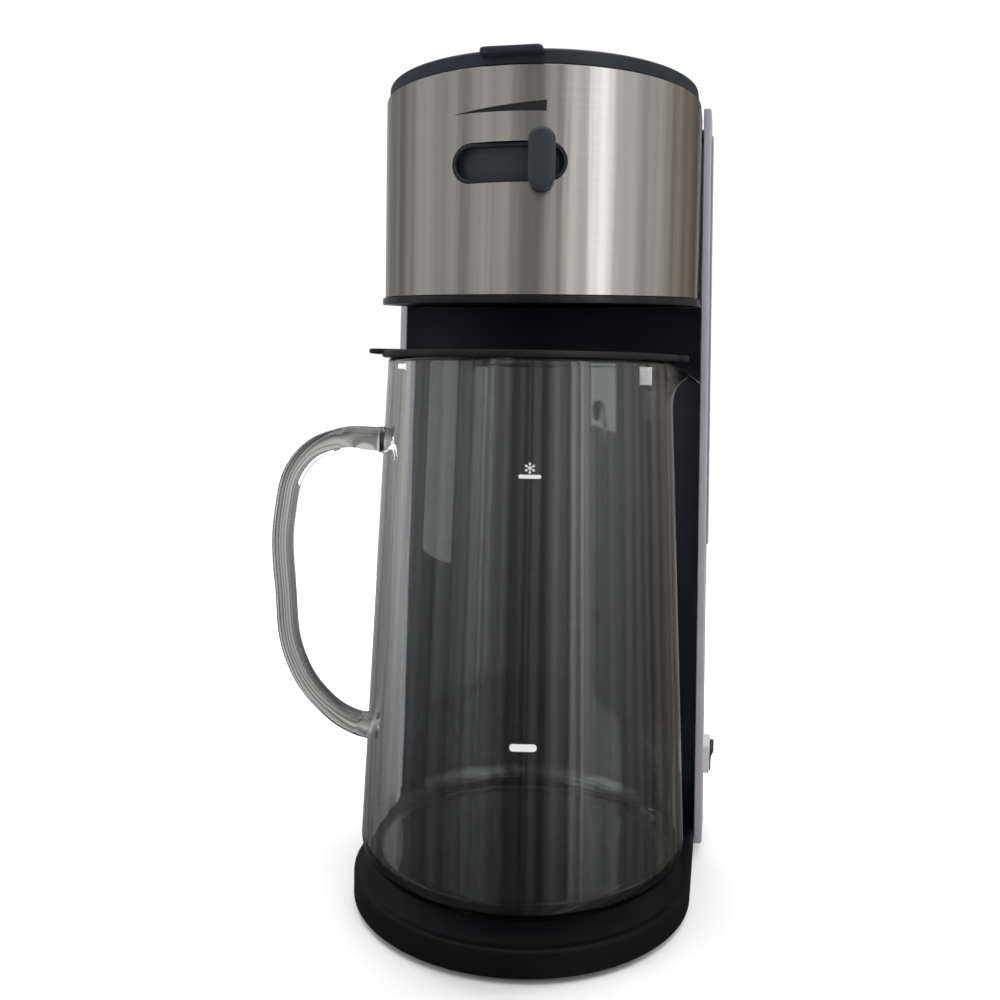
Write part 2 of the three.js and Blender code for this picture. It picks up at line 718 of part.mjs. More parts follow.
function selectorBezel() {
  const lowest = slotZ - slotHalfHeight - overrun;
  const highest = slotZ + slotHalfHeight + overrun;
  const ring = tube(headRadius + bezelProud, chamberRadius + seatGap, lowest, highest, 0, 0, turnSteps * 2);
  return slotPrism(seatGap).intersect(ring).subtract(slotPrism(seatGap + bezelWidth));
}

add(machine, "selector_bezel", selectorBezel(), slatePlastic);

// Strength selector: knob with its stem, carriage plate and bypass shutter, turned together to the rest angle
const selector = new THREE.Group();
selector.rotation.z = THREE.MathUtils.degToRad(knobAngle);
machine.add(selector);

const knobWidth = 12;
const knobHeight = 26.8;
const knobDepth = 8;
const knobRounding = 1.6;
const stemHalfWidth = 4;
const stemHalfHeight = 5.5;
const neckHalfAngle = 5;

function strengthKnob() {
  const knobBackY = -(headRadius + bezelProud + runGap);
  const pill = new THREE.ExtrudeGeometry(racetrackUpright(slotZ, knobHeight / 2, knobWidth / 2), {
    depth: knobDepth - 2 * knobRounding,
    bevelEnabled: true,
    bevelThickness: knobRounding,
    bevelSize: knobRounding,
    bevelOffset: -knobRounding,
    bevelSegments: 3,
  });
  pill.rotateX(Math.PI / 2);
  pill.translate(0, knobBackY - knobRounding, 0);
  const stem = block(
    [-stemHalfWidth, knobBackY - knobRounding, slotZ - stemHalfHeight],
    [stemHalfWidth, -(carriageOuter + seatGap), slotZ + stemHalfHeight],
  );
  return joined(solidOf(pill), stem);
}

// A bar with round ends, standing along the second axis.
function racetrackUpright(centreZ, halfHeight, radius) {
  const shape = new THREE.Shape();
  const reach = halfHeight - radius;
  shape.absarc(0, centreZ + reach, radius, 0, Math.PI, false);
  shape.absarc(0, centreZ - reach, radius, Math.PI, 2 * Math.PI, false);
  shape.closePath();
  return coarse(shape, endSteps + 1);
}

const shutterTop = deckTop - deckThickness - runGap;
const shutterBottom = shutterTop - shutterThickness;

function selectorCarriage() {
  const plateSector = sector(carriageInner, carriageOuter, 0, carriageHalfAngle);
  const plate = slab(plateSector, slotZ - carriageHalfHeight, slotZ + carriageHalfHeight);
  const tabSector = sector(neckInner, carriageInner + carriageThickness / 2, 0, neckHalfAngle);
  const tab = slab(tabSector, slotZ - stemHalfHeight, slotZ + stemHalfHeight);
  const neckSector = sector(neckInner, neckOuter, 0, neckHalfAngle);
  const neck = slab(neckSector, slotZ - stemHalfHeight, shutterBottom - seatGap);
  return joined(plate, tab, neck);
}

function bypassShutter() {
  return slab(sector(shutterInner, carriageOuter, 0, shutterHalfAngle), shutterBottom, shutterTop);
}

add(selector, "strength_knob", strengthKnob(), slatePlastic);
add(selector, "selector_carriage", selectorCarriage(), slatePlastic);
add(selector, "bypass_shutter", bypassShutter(), whitePlastic);

// Brew basket: tapered cup with a funnel floor and an outlet over the pitcher
const basketGap = 0.8;
const basketWall = 1.8;
const basketRimDrop = 1;
const basketTaper = 8;
const basketFootRing = 3;
const funnelRise = 9;
const spoutOuter = 10.5;
const spoutBore = 8;
const basketBottom = wellSeat + seatGap;
const outletBottom = headBottom + climbAt(wellY) + seatGap;
const basketTop = deckTop - basketRimDrop;
const basketRadius = wellRadius - basketGap;

function brewBasket() {
  const footOuter = basketRadius - basketTaper;
  const floorZ = basketBottom + funnelRise;
  return turned(
    [
      [spoutBore, outletBottom],
      [spoutOuter, outletBottom],
      [spoutOuter, basketBottom + basketWall],
      [footOuter - basketFootRing, floorZ - basketWall],
      [footOuter - basketFootRing, basketBottom],
      [footOuter, basketBottom],
      [footOuter, floorZ],
      [basketRadius, basketTop],
      [basketRadius - basketWall, basketTop],
      [footOuter - basketWall, floorZ + basketWall],
      [spoutBore, basketBottom + 2 * basketWall],
    ],
    0,
    wellY,
    insideTurnSteps,
  );
}

add(machine, "brew_basket", brewBasket(), blackPlastic);

// Tea filter: a windowed frame with a fine mesh cup inside it
const filterGap = 1;
const frameWall = 1.4;
const meshWall = 0.5;
const windowCount = 8;
const windowHalfAngle = 16;
const windowMargin = 9;

const filterFloor = basketBottom + funnelRise + basketWall + seatGap;
const filterTop = basketTop - basketRimDrop;

// The cup's outer radius at a height, parallel to the basket's inner wall.
function filterRadius(z) {
  const floorZ = basketBottom + funnelRise;
  const rise = (z - floorZ) / (basketTop - floorZ);
  return basketRadius - basketTaper + basketTaper * rise - basketWall - filterGap;
}

function filterFrame() {
  const cup = turned(
    [
      [0, filterFloor],
      [filterRadius(filterFloor), filterFloor],
      [filterRadius(filterTop), filterTop],
      [filterRadius(filterTop) - frameWall, filterTop],
      [filterRadius(filterFloor) - frameWall, filterFloor + frameWall],
      [0, filterFloor + frameWall],
    ],
    0,
    wellY,
    insideTurnSteps,
  );
  const reach = filterRadius(filterTop) + overrun;
  const low = filterFloor + windowMargin;
  const high = filterTop - windowMargin;
  const windows = [];
  for (let i = 0; i < windowCount; i += 1) {
    const shape = sector(filterRadius(filterFloor) / 2, reach, (i * 360) / windowCount, windowHalfAngle);
    windows.push(slab(shape, low, high).translate(0, wellY, 0));
  }
  return without(cup, ...windows);
}

function filterMesh() {
  const inset = frameWall + seatGap;
  const floorZ = filterFloor + inset;
  return turned(
    [
      [0, floorZ],
      [filterRadius(floorZ) - inset, floorZ],
      [filterRadius(filterTop) - inset, filterTop],
      [filterRadius(filterTop) - inset - meshWall, filterTop],
      [filterRadius(floorZ) - inset - meshWall, floorZ + meshWall],
      [0, floorZ + meshWall],
    ],
    0,
    wellY,
    insideTurnSteps,
  );
}

add(machine, "filter_frame", filterFrame(), slatePlastic);
add(machine, "filter_mesh", filterMesh(), plainSteel);

// Top lid: one cover over the head and the reservoir, hinged at its rear edge
const hingeZ = (lidBottom + lidTop) / 2;
const pinRadius = 1.5;
const knuckleHalfWidth = 25.5;
const earWidth = 7;
const lidSkirtWall = 2.4;
const lidRounding = 1.3;
const lidBackInset = 6.3;
const tabHalfWidth = 14;
const tabReach = 5;
const tabDepth = 12;
const tabThickness = 3.4;
const tabCorner = 2;

function lidOutline(inset) {
  const halfWidth = lidHalfWidth - inset;
  const rearDepth = backY - lidBackInset - inset - sideEndY;
  const cutY = lidRearEdge - inset;
  const cutAngle = Math.asin((cutY - sideEndY) / rearDepth);
  const shape = new THREE.Shape();
  roundFront(shape, halfWidth, 0);
  shape.lineTo(halfWidth, sideEndY);
  shape.absellipse(0, sideEndY, halfWidth, rearDepth, 0, cutAngle, false);
  shape.absellipse(0, sideEndY, halfWidth, rearDepth, Math.PI - cutAngle, Math.PI, false);
  return shape;
}

// A cylinder along x at the lid hinge.
function hingeBarrel(radius, lowX, highX) {
  const geometry = new THREE.CylinderGeometry(radius, radius, highX - lowX, smallTurnSteps * 2);
  geometry.rotateZ(Math.PI / 2);
  geometry.translate((lowX + highX) / 2, hingeY, hingeZ);
  return solidOf(geometry);
}

function topLid() {
  const cover = slab(lidOutline(0), lidBottom, lidTop, lidRounding);
  const hollow = slab(lidOutline(lidSkirtWall), lidBottom - overrun, lidTop - lidSkirtWall);
  const tabHalfDepth = (tabReach + tabDepth) / 2;
  const tabY = tabHalfDepth - lidHalfWidth - tabReach;
  const tabShape = roundedBox(0, tabY, tabHalfWidth, tabHalfDepth, tabCorner);
  const tab = slab(tabShape, lidTop - tabThickness, lidTop, lidRounding);
  const neckFront = lidRearEdge - lidSkirtWall;
  const neck = block([-knuckleHalfWidth, neckFront, lidBottom], [knuckleHalfWidth, hingeY, lidTop]);
  const barrel = hingeBarrel(knuckleRadius, -knuckleHalfWidth, knuckleHalfWidth);
  const bore = hingeBarrel(pinRadius + seatGap, -knuckleHalfWidth - overrun, knuckleHalfWidth + overrun);
  return without(joined(without(joined(cover, tab), hollow), neck, barrel), bore);
}

add(machine, "top_lid", topLid(), slatePlastic);

// Lid liner and shower: closes the lid from below and leads the hot water from the riser to the shower plate
const linerThickness = 2;
const linerDrop = 1.4; // liner's underside above the lid's lower edge
const showerRadius = 34;
const showerDepth = 5.4;
const showerWall = 1.6;
const showerHole = 1.2;
const showerRings = [[11, 5], [24, 11]]; // radius and number of holes
const showerHoleSteps = 8;
const troughHalfWidth = 7;
const linerBottom = lidBottom + linerDrop;

function lidLiner() {
  const inset = lidSkirtWall + seatGap;
  const sheet = slab(lidOutline(inset), linerBottom, linerBottom + linerThickness);
  const troughLow = linerBottom - showerDepth;
  const troughBack = riserY + troughHalfWidth;
  const showerBack = wellY + showerRadius;
  const channelHalfWidth = troughHalfWidth - showerWall;
  const outer = racetrackBack(troughHalfWidth, showerBack + seatGap, troughBack);
  const channel = racetrackBack(channelHalfWidth, showerBack - overrun, troughBack - showerWall);
  const trough = without(
    slab(outer, troughLow, linerBottom + linerThickness / 2),
    slab(channel, troughLow + showerWall, linerBottom - showerWall / 2),
    drum(pipeRadius + runGap, troughLow - overrun, troughLow + showerWall + overrun, 0, riserY),
  );
  return joined(sheet, trough);
}

// A strip that runs back from frontY and ends in a half round at rearY.
function racetrackBack(halfWidth, frontY, rearY) {
  const shape = new THREE.Shape();
  shape.moveTo(-halfWidth, frontY);
  shape.lineTo(halfWidth, frontY);
  shape.absarc(0, rearY - halfWidth, halfWidth, 0, Math.PI, false);
  return shape;
}

function showerPlate() {
  const low = linerBottom - showerDepth;
  const top = linerBottom - seatGap;
  const dish = turned(
    [
      [0, low],
      [showerRadius, low],
      [showerRadius, top],
      [showerRadius - showerWall, top],
      [showerRadius - showerWall, low + showerWall],
      [0, low + showerWall],
    ],
    0,
    wellY,
    insideTurnSteps,
  );
  const holes = showerRings.flatMap(([radius, count]) =>
    Array.from({ length: count }, (_, i) => {
      const angle = (2 * Math.PI * i) / count;
      const centre = [radius * Math.cos(angle), wellY + radius * Math.sin(angle)];
      return drum(showerHole, low - overrun, low + showerWall + overrun, ...centre, showerHoleSteps);
    }),
  );
  const inlet = block(
    [-troughHalfWidth + showerWall, wellY + showerRadius - showerWall - overrun, low + showerWall],
    [troughHalfWidth - showerWall, wellY + showerRadius + overrun, top + overrun],
  );
  return without(dish, inlet, ...holes);
}

add(machine, "lid_liner", lidLiner(), slatePlastic);
add(machine, "shower_plate", showerPlate(), slatePlastic);

// Rear deck: fixed cap behind the lid, resting on the reservoir's rim, with the hinge ears in its front edge
const deckFrontY = lidRearEdge + runGap;
const hingeBackY = hingeY + knuckleRadius + 2 * runGap;
const capTop = shellTop - seatGap;
const capWall = 2.2;
const earGap = 0.5;
const earInner = knuckleHalfWidth + earGap;
const earOuter = earInner + earWidth;

function capOutline(inset) {
  const halfWidth = shellInner - seatGap - inset;
  const rearDepth = backY - shellWall - seatGap - inset - sideEndY;
  const cutAngle = Math.asin((deckFrontY + inset - sideEndY) / rearDepth);
  const shape = new THREE.Shape();
  shape.absellipse(0, sideEndY, halfWidth, rearDepth, cutAngle, Math.PI - cutAngle, false);
  return shape;
}

function rearDeck() {
  const capBottom = tankTop + seatGap;
  const inside = slab(capOutline(capWall), capBottom - overrun, capTop - capWall);
  const cap = slab(capOutline(0), capBottom, capTop).subtract(inside);
  const hingeBox = block(
    [-earOuter, deckFrontY, hingeZ - knuckleRadius],
    [earOuter, hingeBackY + capWall, capTop],
  );
  const slot = block([-earInner, deckFrontY - overrun, capBottom - overrun], [earInner, hingeBackY, lidTop]);
  const ears = [
    hingeBarrel(knuckleRadius, -earOuter, -earInner),
    hingeBarrel(knuckleRadius, earInner, earOuter),
  ];
  const bore = hingeBarrel(pinRadius + seatGap, -earOuter - overrun, earOuter + overrun);
  return without(joined(joined(cap, hingeBox).subtract(slot), ...ears), bore);
}

add(machine, "rear_deck", rearDeck(), slatePlastic);
add(machine, "lid_hinge_pin", hingeBarrel(pinRadius, -earOuter, earOuter), plainSteel);

// Water circuit in the tower's foot: heater, its bracket and sensors, check valve, hoses and riser
const heaterRise = 29.5;
const heaterBottom = plateTop + heaterRise;
const heaterHeight = 14.5;
const heaterWidth = 14;
const heaterArm = 12;
const heaterBend = 10; // from the pipes back to the centre of the heater's bend
const heaterCentreY = pipeY + heaterBend;
const stubLength = 15;
const sleeve = 10;
const heaterTop = heaterBottom + heaterHeight;

function heater() {
  const outer = pipeX + heaterWidth / 2;
  const inner = pipeX - heaterWidth / 2;
  const frontY = pipeY - heaterArm / 2 - heaterWidth / 4;
  const shape = new THREE.Shape();
  shape.moveTo(inner, frontY);
  shape.lineTo(outer, frontY);
  shape.absarc(0, heaterCentreY, outer, 0, Math.PI, false);
  shape.lineTo(-outer, frontY);
  shape.lineTo(-inner, frontY);
  shape.absarc(0, heaterCentreY, inner, Math.PI, 0, true);
  const casting = slab(shape, heaterBottom, heaterTop, heaterWidth / 8, 1);
  const low = heaterTop - overrun;
  const stubTop = heaterTop + stubLength;
  const stubs = sides.map(([, side]) => drum(pipeRadius, low, stubTop, side * pipeX, pipeY));
  const bores = sides.map(([, side]) => drum(pipeBore, low, stubTop + overrun, side * pipeX, pipeY));
  return without(joined(casting, ...stubs), ...bores);
}

const bracketSheet = 1.5;
const bracketHalfWidth = 40;
const bracketFlange = 9;
const bracketDepth = 22;

function heaterBracket() {
  const low = plateTop + seatGap;
  const high = heaterBottom - seatGap;
  const half = bracketHalfWidth;
  const shape = new THREE.Shape();
  shape.moveTo(-half - bracketFlange, low);
  shape.lineTo(-half + bracketSheet, low);
  shape.lineTo(-half + bracketSheet, high - bracketSheet);
  shape.lineTo(half - bracketSheet, high - bracketSheet);
  shape.lineTo(half - bracketSheet, low);
  shape.lineTo(half + bracketFlange, low);
  shape.lineTo(half + bracketFlange, low + bracketSheet);
  shape.lineTo(half, low + bracketSheet);
  shape.lineTo(half, high);
  shape.lineTo(-half, high);
  shape.lineTo(-half, low + bracketSheet);
  shape.lineTo(-half - bracketFlange, low + bracketSheet);
  return through(shape, heaterCentreY - bracketDepth / 2, heaterCentreY + bracketDepth / 2);
}

const thermostatRadius = 7.5;
const thermostatCap = 5.5;
const thermostatFlange = 2;
const thermostatHeight = 7;
const fuseRadius = 2;
const fuseLength = 16;

function thermostat() {
  const low = heaterTop + seatGap;
  const profile = [
    [0, low],
    [thermostatRadius, low],
    [thermostatRadius, low + thermostatFlange],
    [thermostatCap, low + thermostatFlange],
    [thermostatCap, low + thermostatHeight],
    [0, low + thermostatHeight],
  ];
  return turned(profile, 0, heaterCentreY + pipeX, smallTurnSteps);
}

function thermalFuse() {
  const geometry = new THREE.CylinderGeometry(fuseRadius, fuseRadius, fuseLength, smallTurnSteps);
  geometry.translate(-pipeX, heaterCentreY + fuseLength / 4, heaterTop + seatGap + fuseRadius);
  return solidOf(geometry);
}

const grommetRadius = 7;
const grommetHeight = 3;
const valveRadius = 6;
const valveHeight = 12;
const barb = 8;
const valveDrop = 38; // from the tank's floor
const valveBottom = tankBottom - valveDrop;
const valveTop = valveBottom + valveHeight;

function checkValve() {
  const low = valveBottom - barb;
  const high = valveTop + barb;
  const profile = [
    [pipeBore, low],
    [pipeRadius, low],
    [pipeRadius, valveBottom],
    [valveRadius, valveBottom],
    [valveRadius, valveTop],
    [pipeRadius, valveTop],
    [pipeRadius, high],
    [pipeBore, high],
  ];
  return turned(profile, pipeX, pipeY, smallTurnSteps);
}

const hoseRun = (low, high) => tube(hoseOuter, pipeRadius + seatGap, low, high, pipeX, pipeY);

// Riser hose: a bend from the heater's outlet over to the riser tube
const riserDrop = 42; // from the tank's floor
const riserIntoTrough = 1.5;
const riserBottom = tankBottom - riserDrop;
const riserTop = linerBottom - showerDepth + riserIntoTrough;
const hoseBendSteps = 14;
const hoseRoundSteps = 5;

function riserHose() {
  const lowEnd = new THREE.Vector3(-pipeX, pipeY, heaterTop + stubLength - sleeve);
  const bendLow = new THREE.Vector3(-pipeX, pipeY, heaterTop + stubLength + hoseWall);
  const bendHigh = new THREE.Vector3(0, riserY, riserBottom - hoseWall);
  const highEnd = new THREE.Vector3(0, riserY, riserBottom + sleeve);
  const pull = new THREE.Vector3(0, 0, (bendHigh.z - bendLow.z) / 2);
  const path = new THREE.CurvePath();
  path.add(new THREE.LineCurve3(lowEnd, bendLow));
  const pulls = [bendLow.clone().add(pull), bendHigh.clone().sub(pull)];
  path.add(new THREE.CubicBezierCurve3(bendLow, ...pulls, bendHigh));
  path.add(new THREE.LineCurve3(bendHigh, highEnd));
  const section = new THREE.Shape();
  section.absarc(0, 0, hoseOuter, 0, 2 * Math.PI, false);
  const bore = new THREE.Path();
  bore.absarc(0, 0, pipeRadius + 2 * seatGap, 0, 2 * Math.PI, true);
  section.holes.push(bore);
  const swept = { extrudePath: path, steps: hoseBendSteps, curveSegments: hoseRoundSteps };
  return solidOf(new THREE.ExtrudeGeometry(section, { ...swept, bevelEnabled: false }));
}

const grommetTop = tankBottom - seatGap;
const grommetBottom = grommetTop - grommetHeight;
const grommet = tube(grommetRadius, pipeRadius + seatGap, grommetBottom, grommetTop, pipeX, pipeY);

add(machine, "flow_heater", heater(), castAluminium);
add(machine, "heater_bracket", heaterBracket(), plainSteel);
add(machine, "thermostat", thermostat(), blackPlastic);
add(machine, "thermal_fuse", thermalFuse(), plainSteel);
add(machine, "check_valve", checkValve(), whitePlastic);
add(machine, "tank_grommet", grommet, blackRubber);
add(machine, "feed_hose_upper", hoseRun(valveTop + seatGap, grommetBottom - seatGap), paleSilicone);
add(machine, "feed_hose_lower", hoseRun(heaterTop + seatGap, valveBottom - seatGap), paleSilicone);
add(machine, "riser_tube", tube(pipeRadius, pipeBore, riserBottom, riserTop, 0, riserY), whitePlastic);
add(machine, "riser_hose", riserHose(), paleSilicone);

// Power switch: a frame that stands out of the shell's right side, with a rocker in it
const frameWallThickness = 1.6;
const frameDepth = 3; // behind the inside of the shell
const rockerAngle = 8; // tilt either side of level
const rockerRise = 1.6;
const rockerDip = 0.7;
const rockerBack = 3.4;
const rockerPivotIn = 3.2;
const rockerGap = 0.8; // above and below the rocker
const rockerBackShare = 0.6; // of its front's height
const pocketDepth = 7.2;
const pivotStub = 1.1;
const pivotReach = 1;
const frameFront = shellHalfWidth * flareAt(switchZ) + switchProud;
const frameBack = shellInner * flareAt(switchZ) - frameDepth;
const pocketHalfWidth = switchHalfWidth - seatGap - frameWallThickness;
const pocketHalfHeight = switchHalfHeight - seatGap - frameWallThickness / 2;
const pivotX = frameFront - rockerPivotIn;

// A cylinder along y at the rocker's pivot.
function pivotRod(radius, halfLength) {
  const geometry = new THREE.CylinderGeometry(radius, radius, 2 * halfLength, smallTurnSteps);
  geometry.translate(pivotX, switchY, switchZ);
  return solidOf(geometry);
}

function switchFrame() {
  const halfWidth = switchHalfWidth - seatGap;
  const outer = roundedBox(switchY, switchZ, halfWidth, switchHalfHeight - seatGap, switchCorner);
  const pocket = roundedBox(switchY, switchZ, pocketHalfWidth, pocketHalfHeight, switchCorner / 2);
  return without(
    sideways(outer, frameBack, frameFront),
    sideways(pocket, frameFront - pocketDepth, frameFront + overrun),
    pivotRod(pivotStub + seatGap, pocketHalfWidth + pivotReach),
  );
}

function powerRocker() {
  const halfHeight = pocketHalfHeight - rockerGap;
  const halfWidth = pocketHalfWidth - runGap;
  const lean = THREE.MathUtils.degToRad(rockerAngle);
  const corners = [
    [-rockerBack, -halfHeight * rockerBackShare],
    [rockerPivotIn + rockerRise, -halfHeight],
    [rockerPivotIn + rockerDip, 0],
    [rockerPivotIn + rockerRise, halfHeight],
    [-rockerBack, halfHeight * rockerBackShare],
  ].map(([x, z]) => {
    const turnedX = x * Math.cos(lean) + z * Math.sin(lean);
    const turnedZ = z * Math.cos(lean) - x * Math.sin(lean);
    return new THREE.Vector2(pivotX + turnedX, switchZ + turnedZ);
  });
  const key = through(new THREE.Shape(corners), switchY - halfWidth, switchY + halfWidth);
  return joined(key, pivotRod(pivotStub, pocketHalfWidth + pivotReach - seatGap));
}

add(machine, "switch_frame", switchFrame(), whitePlastic);
add(machine, "power_rocker", powerRocker(), slatePlastic);

// Cord gland: flanged bushing in the shell's back, bare of its cord
const glandFlange = 9;
const glandFlangeDepth = 2.4;
const glandBore = 3.4;
const glandInside = 6;

function cordGland() {
  const geometryAt = backY + seatGap;
  const profile = [
    [glandBore, geometryAt - shellWall - glandInside],
    [cordHoleRadius - seatGap, geometryAt - shellWall - glandInside],
    [cordHoleRadius - seatGap, geometryAt],
    [glandFlange, geometryAt],
    [glandFlange - glandFlangeDepth / 2, geometryAt + glandFlangeDepth],
    [glandBore, geometryAt + glandFlangeDepth],
  ];
  const points = profile.map(([r, y]) => new THREE.Vector2(r, y));
  points.push(points[0].clone());
  const geometry = new THREE.LatheGeometry(points, smallTurnSteps);
  geometry.translate(0, 0, cordZ);
  return solidOf(geometry);
}

add(machine, "cord_gland", cordGland(), blackRubber);

// Pitcher: glass body, glass handle and loose lid, turned together about the pitcher's axis
const pitcherTurn = 11.4;
const pitcher = new THREE.Group();
pitcher.position.set(0, pitcherAxisY, pitcherFoot);
pitcher.rotation.z = THREE.MathUtils.degToRad(pitcherTurn);
machine.add(pitcher);

const rimOuter = bellyOuter - pitcherTaper;
const heelRadius = 15;
const glassFloor = 4.5;
const rimRound = 1.2;
const spoutReach = 15.2;
const spoutDroop = 10.3;
const spoutHeight = 26;
const spoutHalfAngle = 24;
const pitcherSteps = 48;
const spoutSteps = 5;
const heelSteps = 4;

// Outer radius of the glass wall at a height above its foot.
const wallRadius = (z) => bellyOuter + (rimOuter - bellyOuter) * (z / pitcherHeight);

// Profile of the glass: floor, rounded heel, tapering wall, rounded rim and back down inside.
function glassProfile() {
  const innerHeel = heelRadius - glassWall;
  const heelCentre = wallRadius(heelRadius) - heelRadius;
  const heel = (radius) => Array.from({ length: heelSteps + 1 }, (_, i) => {
    const angle = (-Math.PI / 2) * (1 - i / heelSteps);
    return [heelCentre + radius * Math.cos(angle), heelRadius + radius * Math.sin(angle)];
  });
  const climb = Array.from({ length: spoutSteps + 1 }, (_, i) => {
    const z = pitcherHeight - rimRound - (spoutHeight - rimRound) * (1 - i / spoutSteps);
    return [wallRadius(z), z];
  });
  const lift = Math.max(glassFloor - glassWall, 0);
  const outside = [[0, 0], ...heel(heelRadius), ...climb];
  const rim = [[rimOuter - glassWall / 2, pitcherHeight]];
  const innerClimb = climb.map(([r, z]) => [r - glassWall, z]).reverse();
  const innerHeelArc = heel(innerHeel).map(([r, z]) => [r, z + lift]).reverse();
  return [...outside, ...rim, ...innerClimb, ...innerHeelArc, [0, glassFloor]];
}

// The spout pulls the rim outwards towards +X and lets its tip droop.
function pullSpout(geometry) {
  const position = geometry.attributes.position;
  const start = pitcherHeight - spoutHeight;
  for (let i = 0; i < position.count; i += 1) {
    const x = position.getX(i);
    const y = position.getY(i);
    const z = position.getZ(i);
    const angle = THREE.MathUtils.radToDeg(Math.atan2(y, x));
    const across = Math.max(0, 1 - (angle / spoutHalfAngle) ** 2) ** 2;
    const climb = Math.max(0, (z - start) / spoutHeight);
    const pull = across * climb ** 3;
    const radius = Math.hypot(x, y) || 1;
    const grown = (radius + spoutReach * pull) / radius;
    position.setXYZ(i, x * grown, y * grown, z - spoutDroop * pull * climb ** 2);
  }
}

function pitcherBody() {
  const points = glassProfile().map(([r, z]) => new THREE.Vector2(r, z));
  const geometry = new THREE.LatheGeometry(points, pitcherSteps);
  geometry.rotateX(Math.PI / 2);
  pullSpout(geometry);
  return solidOf(geometry);
}

// Handle: one glass rod from the upper weld out, down and back in to the lower weld
const rodRadius = 5.3;
const rodSteps = 36;
const rodRoundSteps = 5;
const handleReach = 40.8; // centre of the rod, beyond the pitcher's foot
const handleBelowRim = 40.5;
const handleLow = 59.2;
const handleTop = pitcherHeight - handleBelowRim;

// Centre line of the rod between its welds, as shares of its reach and of the height between the welds.
const handleShares = [
  [0.338, 1],
  [0.789, 0.923],
  [1, 0.744],
  [0.985, 0.484],
  [0.843, 0.238],
  [0.436, 0.079],
];
const handleLine = [
  [wallRadius(handleTop) + seatGap, handleTop],
  ...handleShares.map(([out, up]) => [
    bellyOuter + out * handleReach,
    handleLow + up * (handleTop - handleLow),
  ]),
  [wallRadius(handleLow) + seatGap, handleLow],
];

function pitcherHandle() {
  const points = handleLine.map(([reach, z]) => new THREE.Vector3(-reach, 0, z));
  const path = new THREE.CatmullRomCurve3(points, false, "centripetal");
  const section = new THREE.Shape();
  section.absarc(0, 0, rodRadius, 0, 2 * Math.PI, false);
  const swept = { extrudePath: path, steps: rodSteps, curveSegments: rodRoundSteps };
  const rod = new THREE.ExtrudeGeometry(section, { ...swept, bevelEnabled: false });
  const wallProfile = [
    [0, 0],
    [bellyOuter + seatGap, 0],
    [rimOuter + seatGap, pitcherHeight],
    [0, pitcherHeight],
  ];
  return solidOf(rod).subtract(turned(wallProfile, 0, 0, pitcherSteps));
}

// Pitcher lid: dished disc with a funnel to its opening, a thumb tab over the handle and a split skirt
const discOverhang = 3.2;
const discRadius = rimOuter + discOverhang;
const lidRimRounding = 0.8;
const funnelRadius = 36;
const funnelDrop = 5;
const lidOpening = 11;
const lidSkin = 2;
const skirtGap = 0.7;
const skirtWall = 1.8;
const skirtDrop = 2.4;
const clipDrop = 4.4;
const clipHalfAngle = 3.2;
const pourWindow = { middle: 17.7, halfAngle: 33.9 }; // gap in the skirt, degrees
const thumbTab = { halfWidth: 14, beyondDisc: 5.5, length: 16.5, rise: 2.2, corner: 4 };
const spoutFlap = { halfWidth: 17, beyondDisc: 3, length: 14, corner: 2 };

// Outline of a tab that stands out beyond the disc, on the +X side or the -X side.
function tabOutline(tab, side) {
  const middle = discRadius + tab.beyondDisc - tab.length / 2;
  return roundedBox(side * middle, 0, tab.length / 2, tab.halfWidth, tab.corner);
}

function pitcherLid() {
  const low = pitcherHeight + seatGap;
  const high = low + pitcherLidThickness;
  const skirtOuter = rimOuter - glassWall - skirtGap;
  const dishBottom = high - funnelDrop - lidSkin;
  const disc = turned([
    [0, low],
    [discRadius - lidRimRounding, low],
    [discRadius, low + lidRimRounding],
    [discRadius, high - lidRimRounding],
    [discRadius - lidRimRounding, high],
    [0, high],
  ]);
  const dish = turned([
    [0, dishBottom],
    [lidOpening + lidSkin, dishBottom],
    [funnelRadius + lidSkin, low],
    [funnelRadius + lidSkin, high - lidRimRounding],
    [0, high - lidRimRounding],
  ]);
  const funnel = turned([
    [0, dishBottom - overrun],
    [lidOpening, dishBottom - overrun],
    [lidOpening, high - funnelDrop],
    [funnelRadius, high],
    [funnelRadius, high + overrun],
    [0, high + overrun],
  ]);
  const gap = sector(skirtOuter - 2 * skirtWall, discRadius, pourWindow.middle, pourWindow.halfAngle);
  const skirt = without(
    tube(skirtOuter, skirtOuter - skirtWall, low - skirtDrop, low + lidRimRounding, 0, 0, turnSteps),
    slab(gap, low - skirtDrop - overrun, low - weld),
  );
  const clips = [-1, 1].map((side) => {
    const middle = pourWindow.middle + side * (pourWindow.halfAngle + clipHalfAngle);
    const clip = sector(skirtOuter - skirtWall, skirtOuter, middle, clipHalfAngle);
    return slab(clip, low - clipDrop, low + lidRimRounding);
  });
  const raised = slab(tabOutline(thumbTab, -1), low, high + thumbTab.rise, lidRimRounding);
  const level = slab(tabOutline(spoutFlap, 1), low, high, lidRimRounding);
  return without(joined(disc, dish, raised, level, skirt, ...clips), funnel);
}

add(pitcher, "pitcher_body", pitcherBody(), clearGlass);
add(pitcher, "pitcher_handle", pitcherHandle(), clearGlass);
add(pitcher, "pitcher_lid", pitcherLid(), blackPlastic);

// Origin at the bottom centre of everything
const root = new THREE.Group();
root.add(machine);
root.updateMatrixWorld(true);
const extent = new THREE.Box3().setFromObject(root, true);
machine.position.set(-(extent.min.x + extent.max.x) / 2, -(extent.min.y + extent.max.y) / 2, -extent.min.z);

export default root;
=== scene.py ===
import bpy
import bmesh
import math
from mathutils import Matrix, Vector


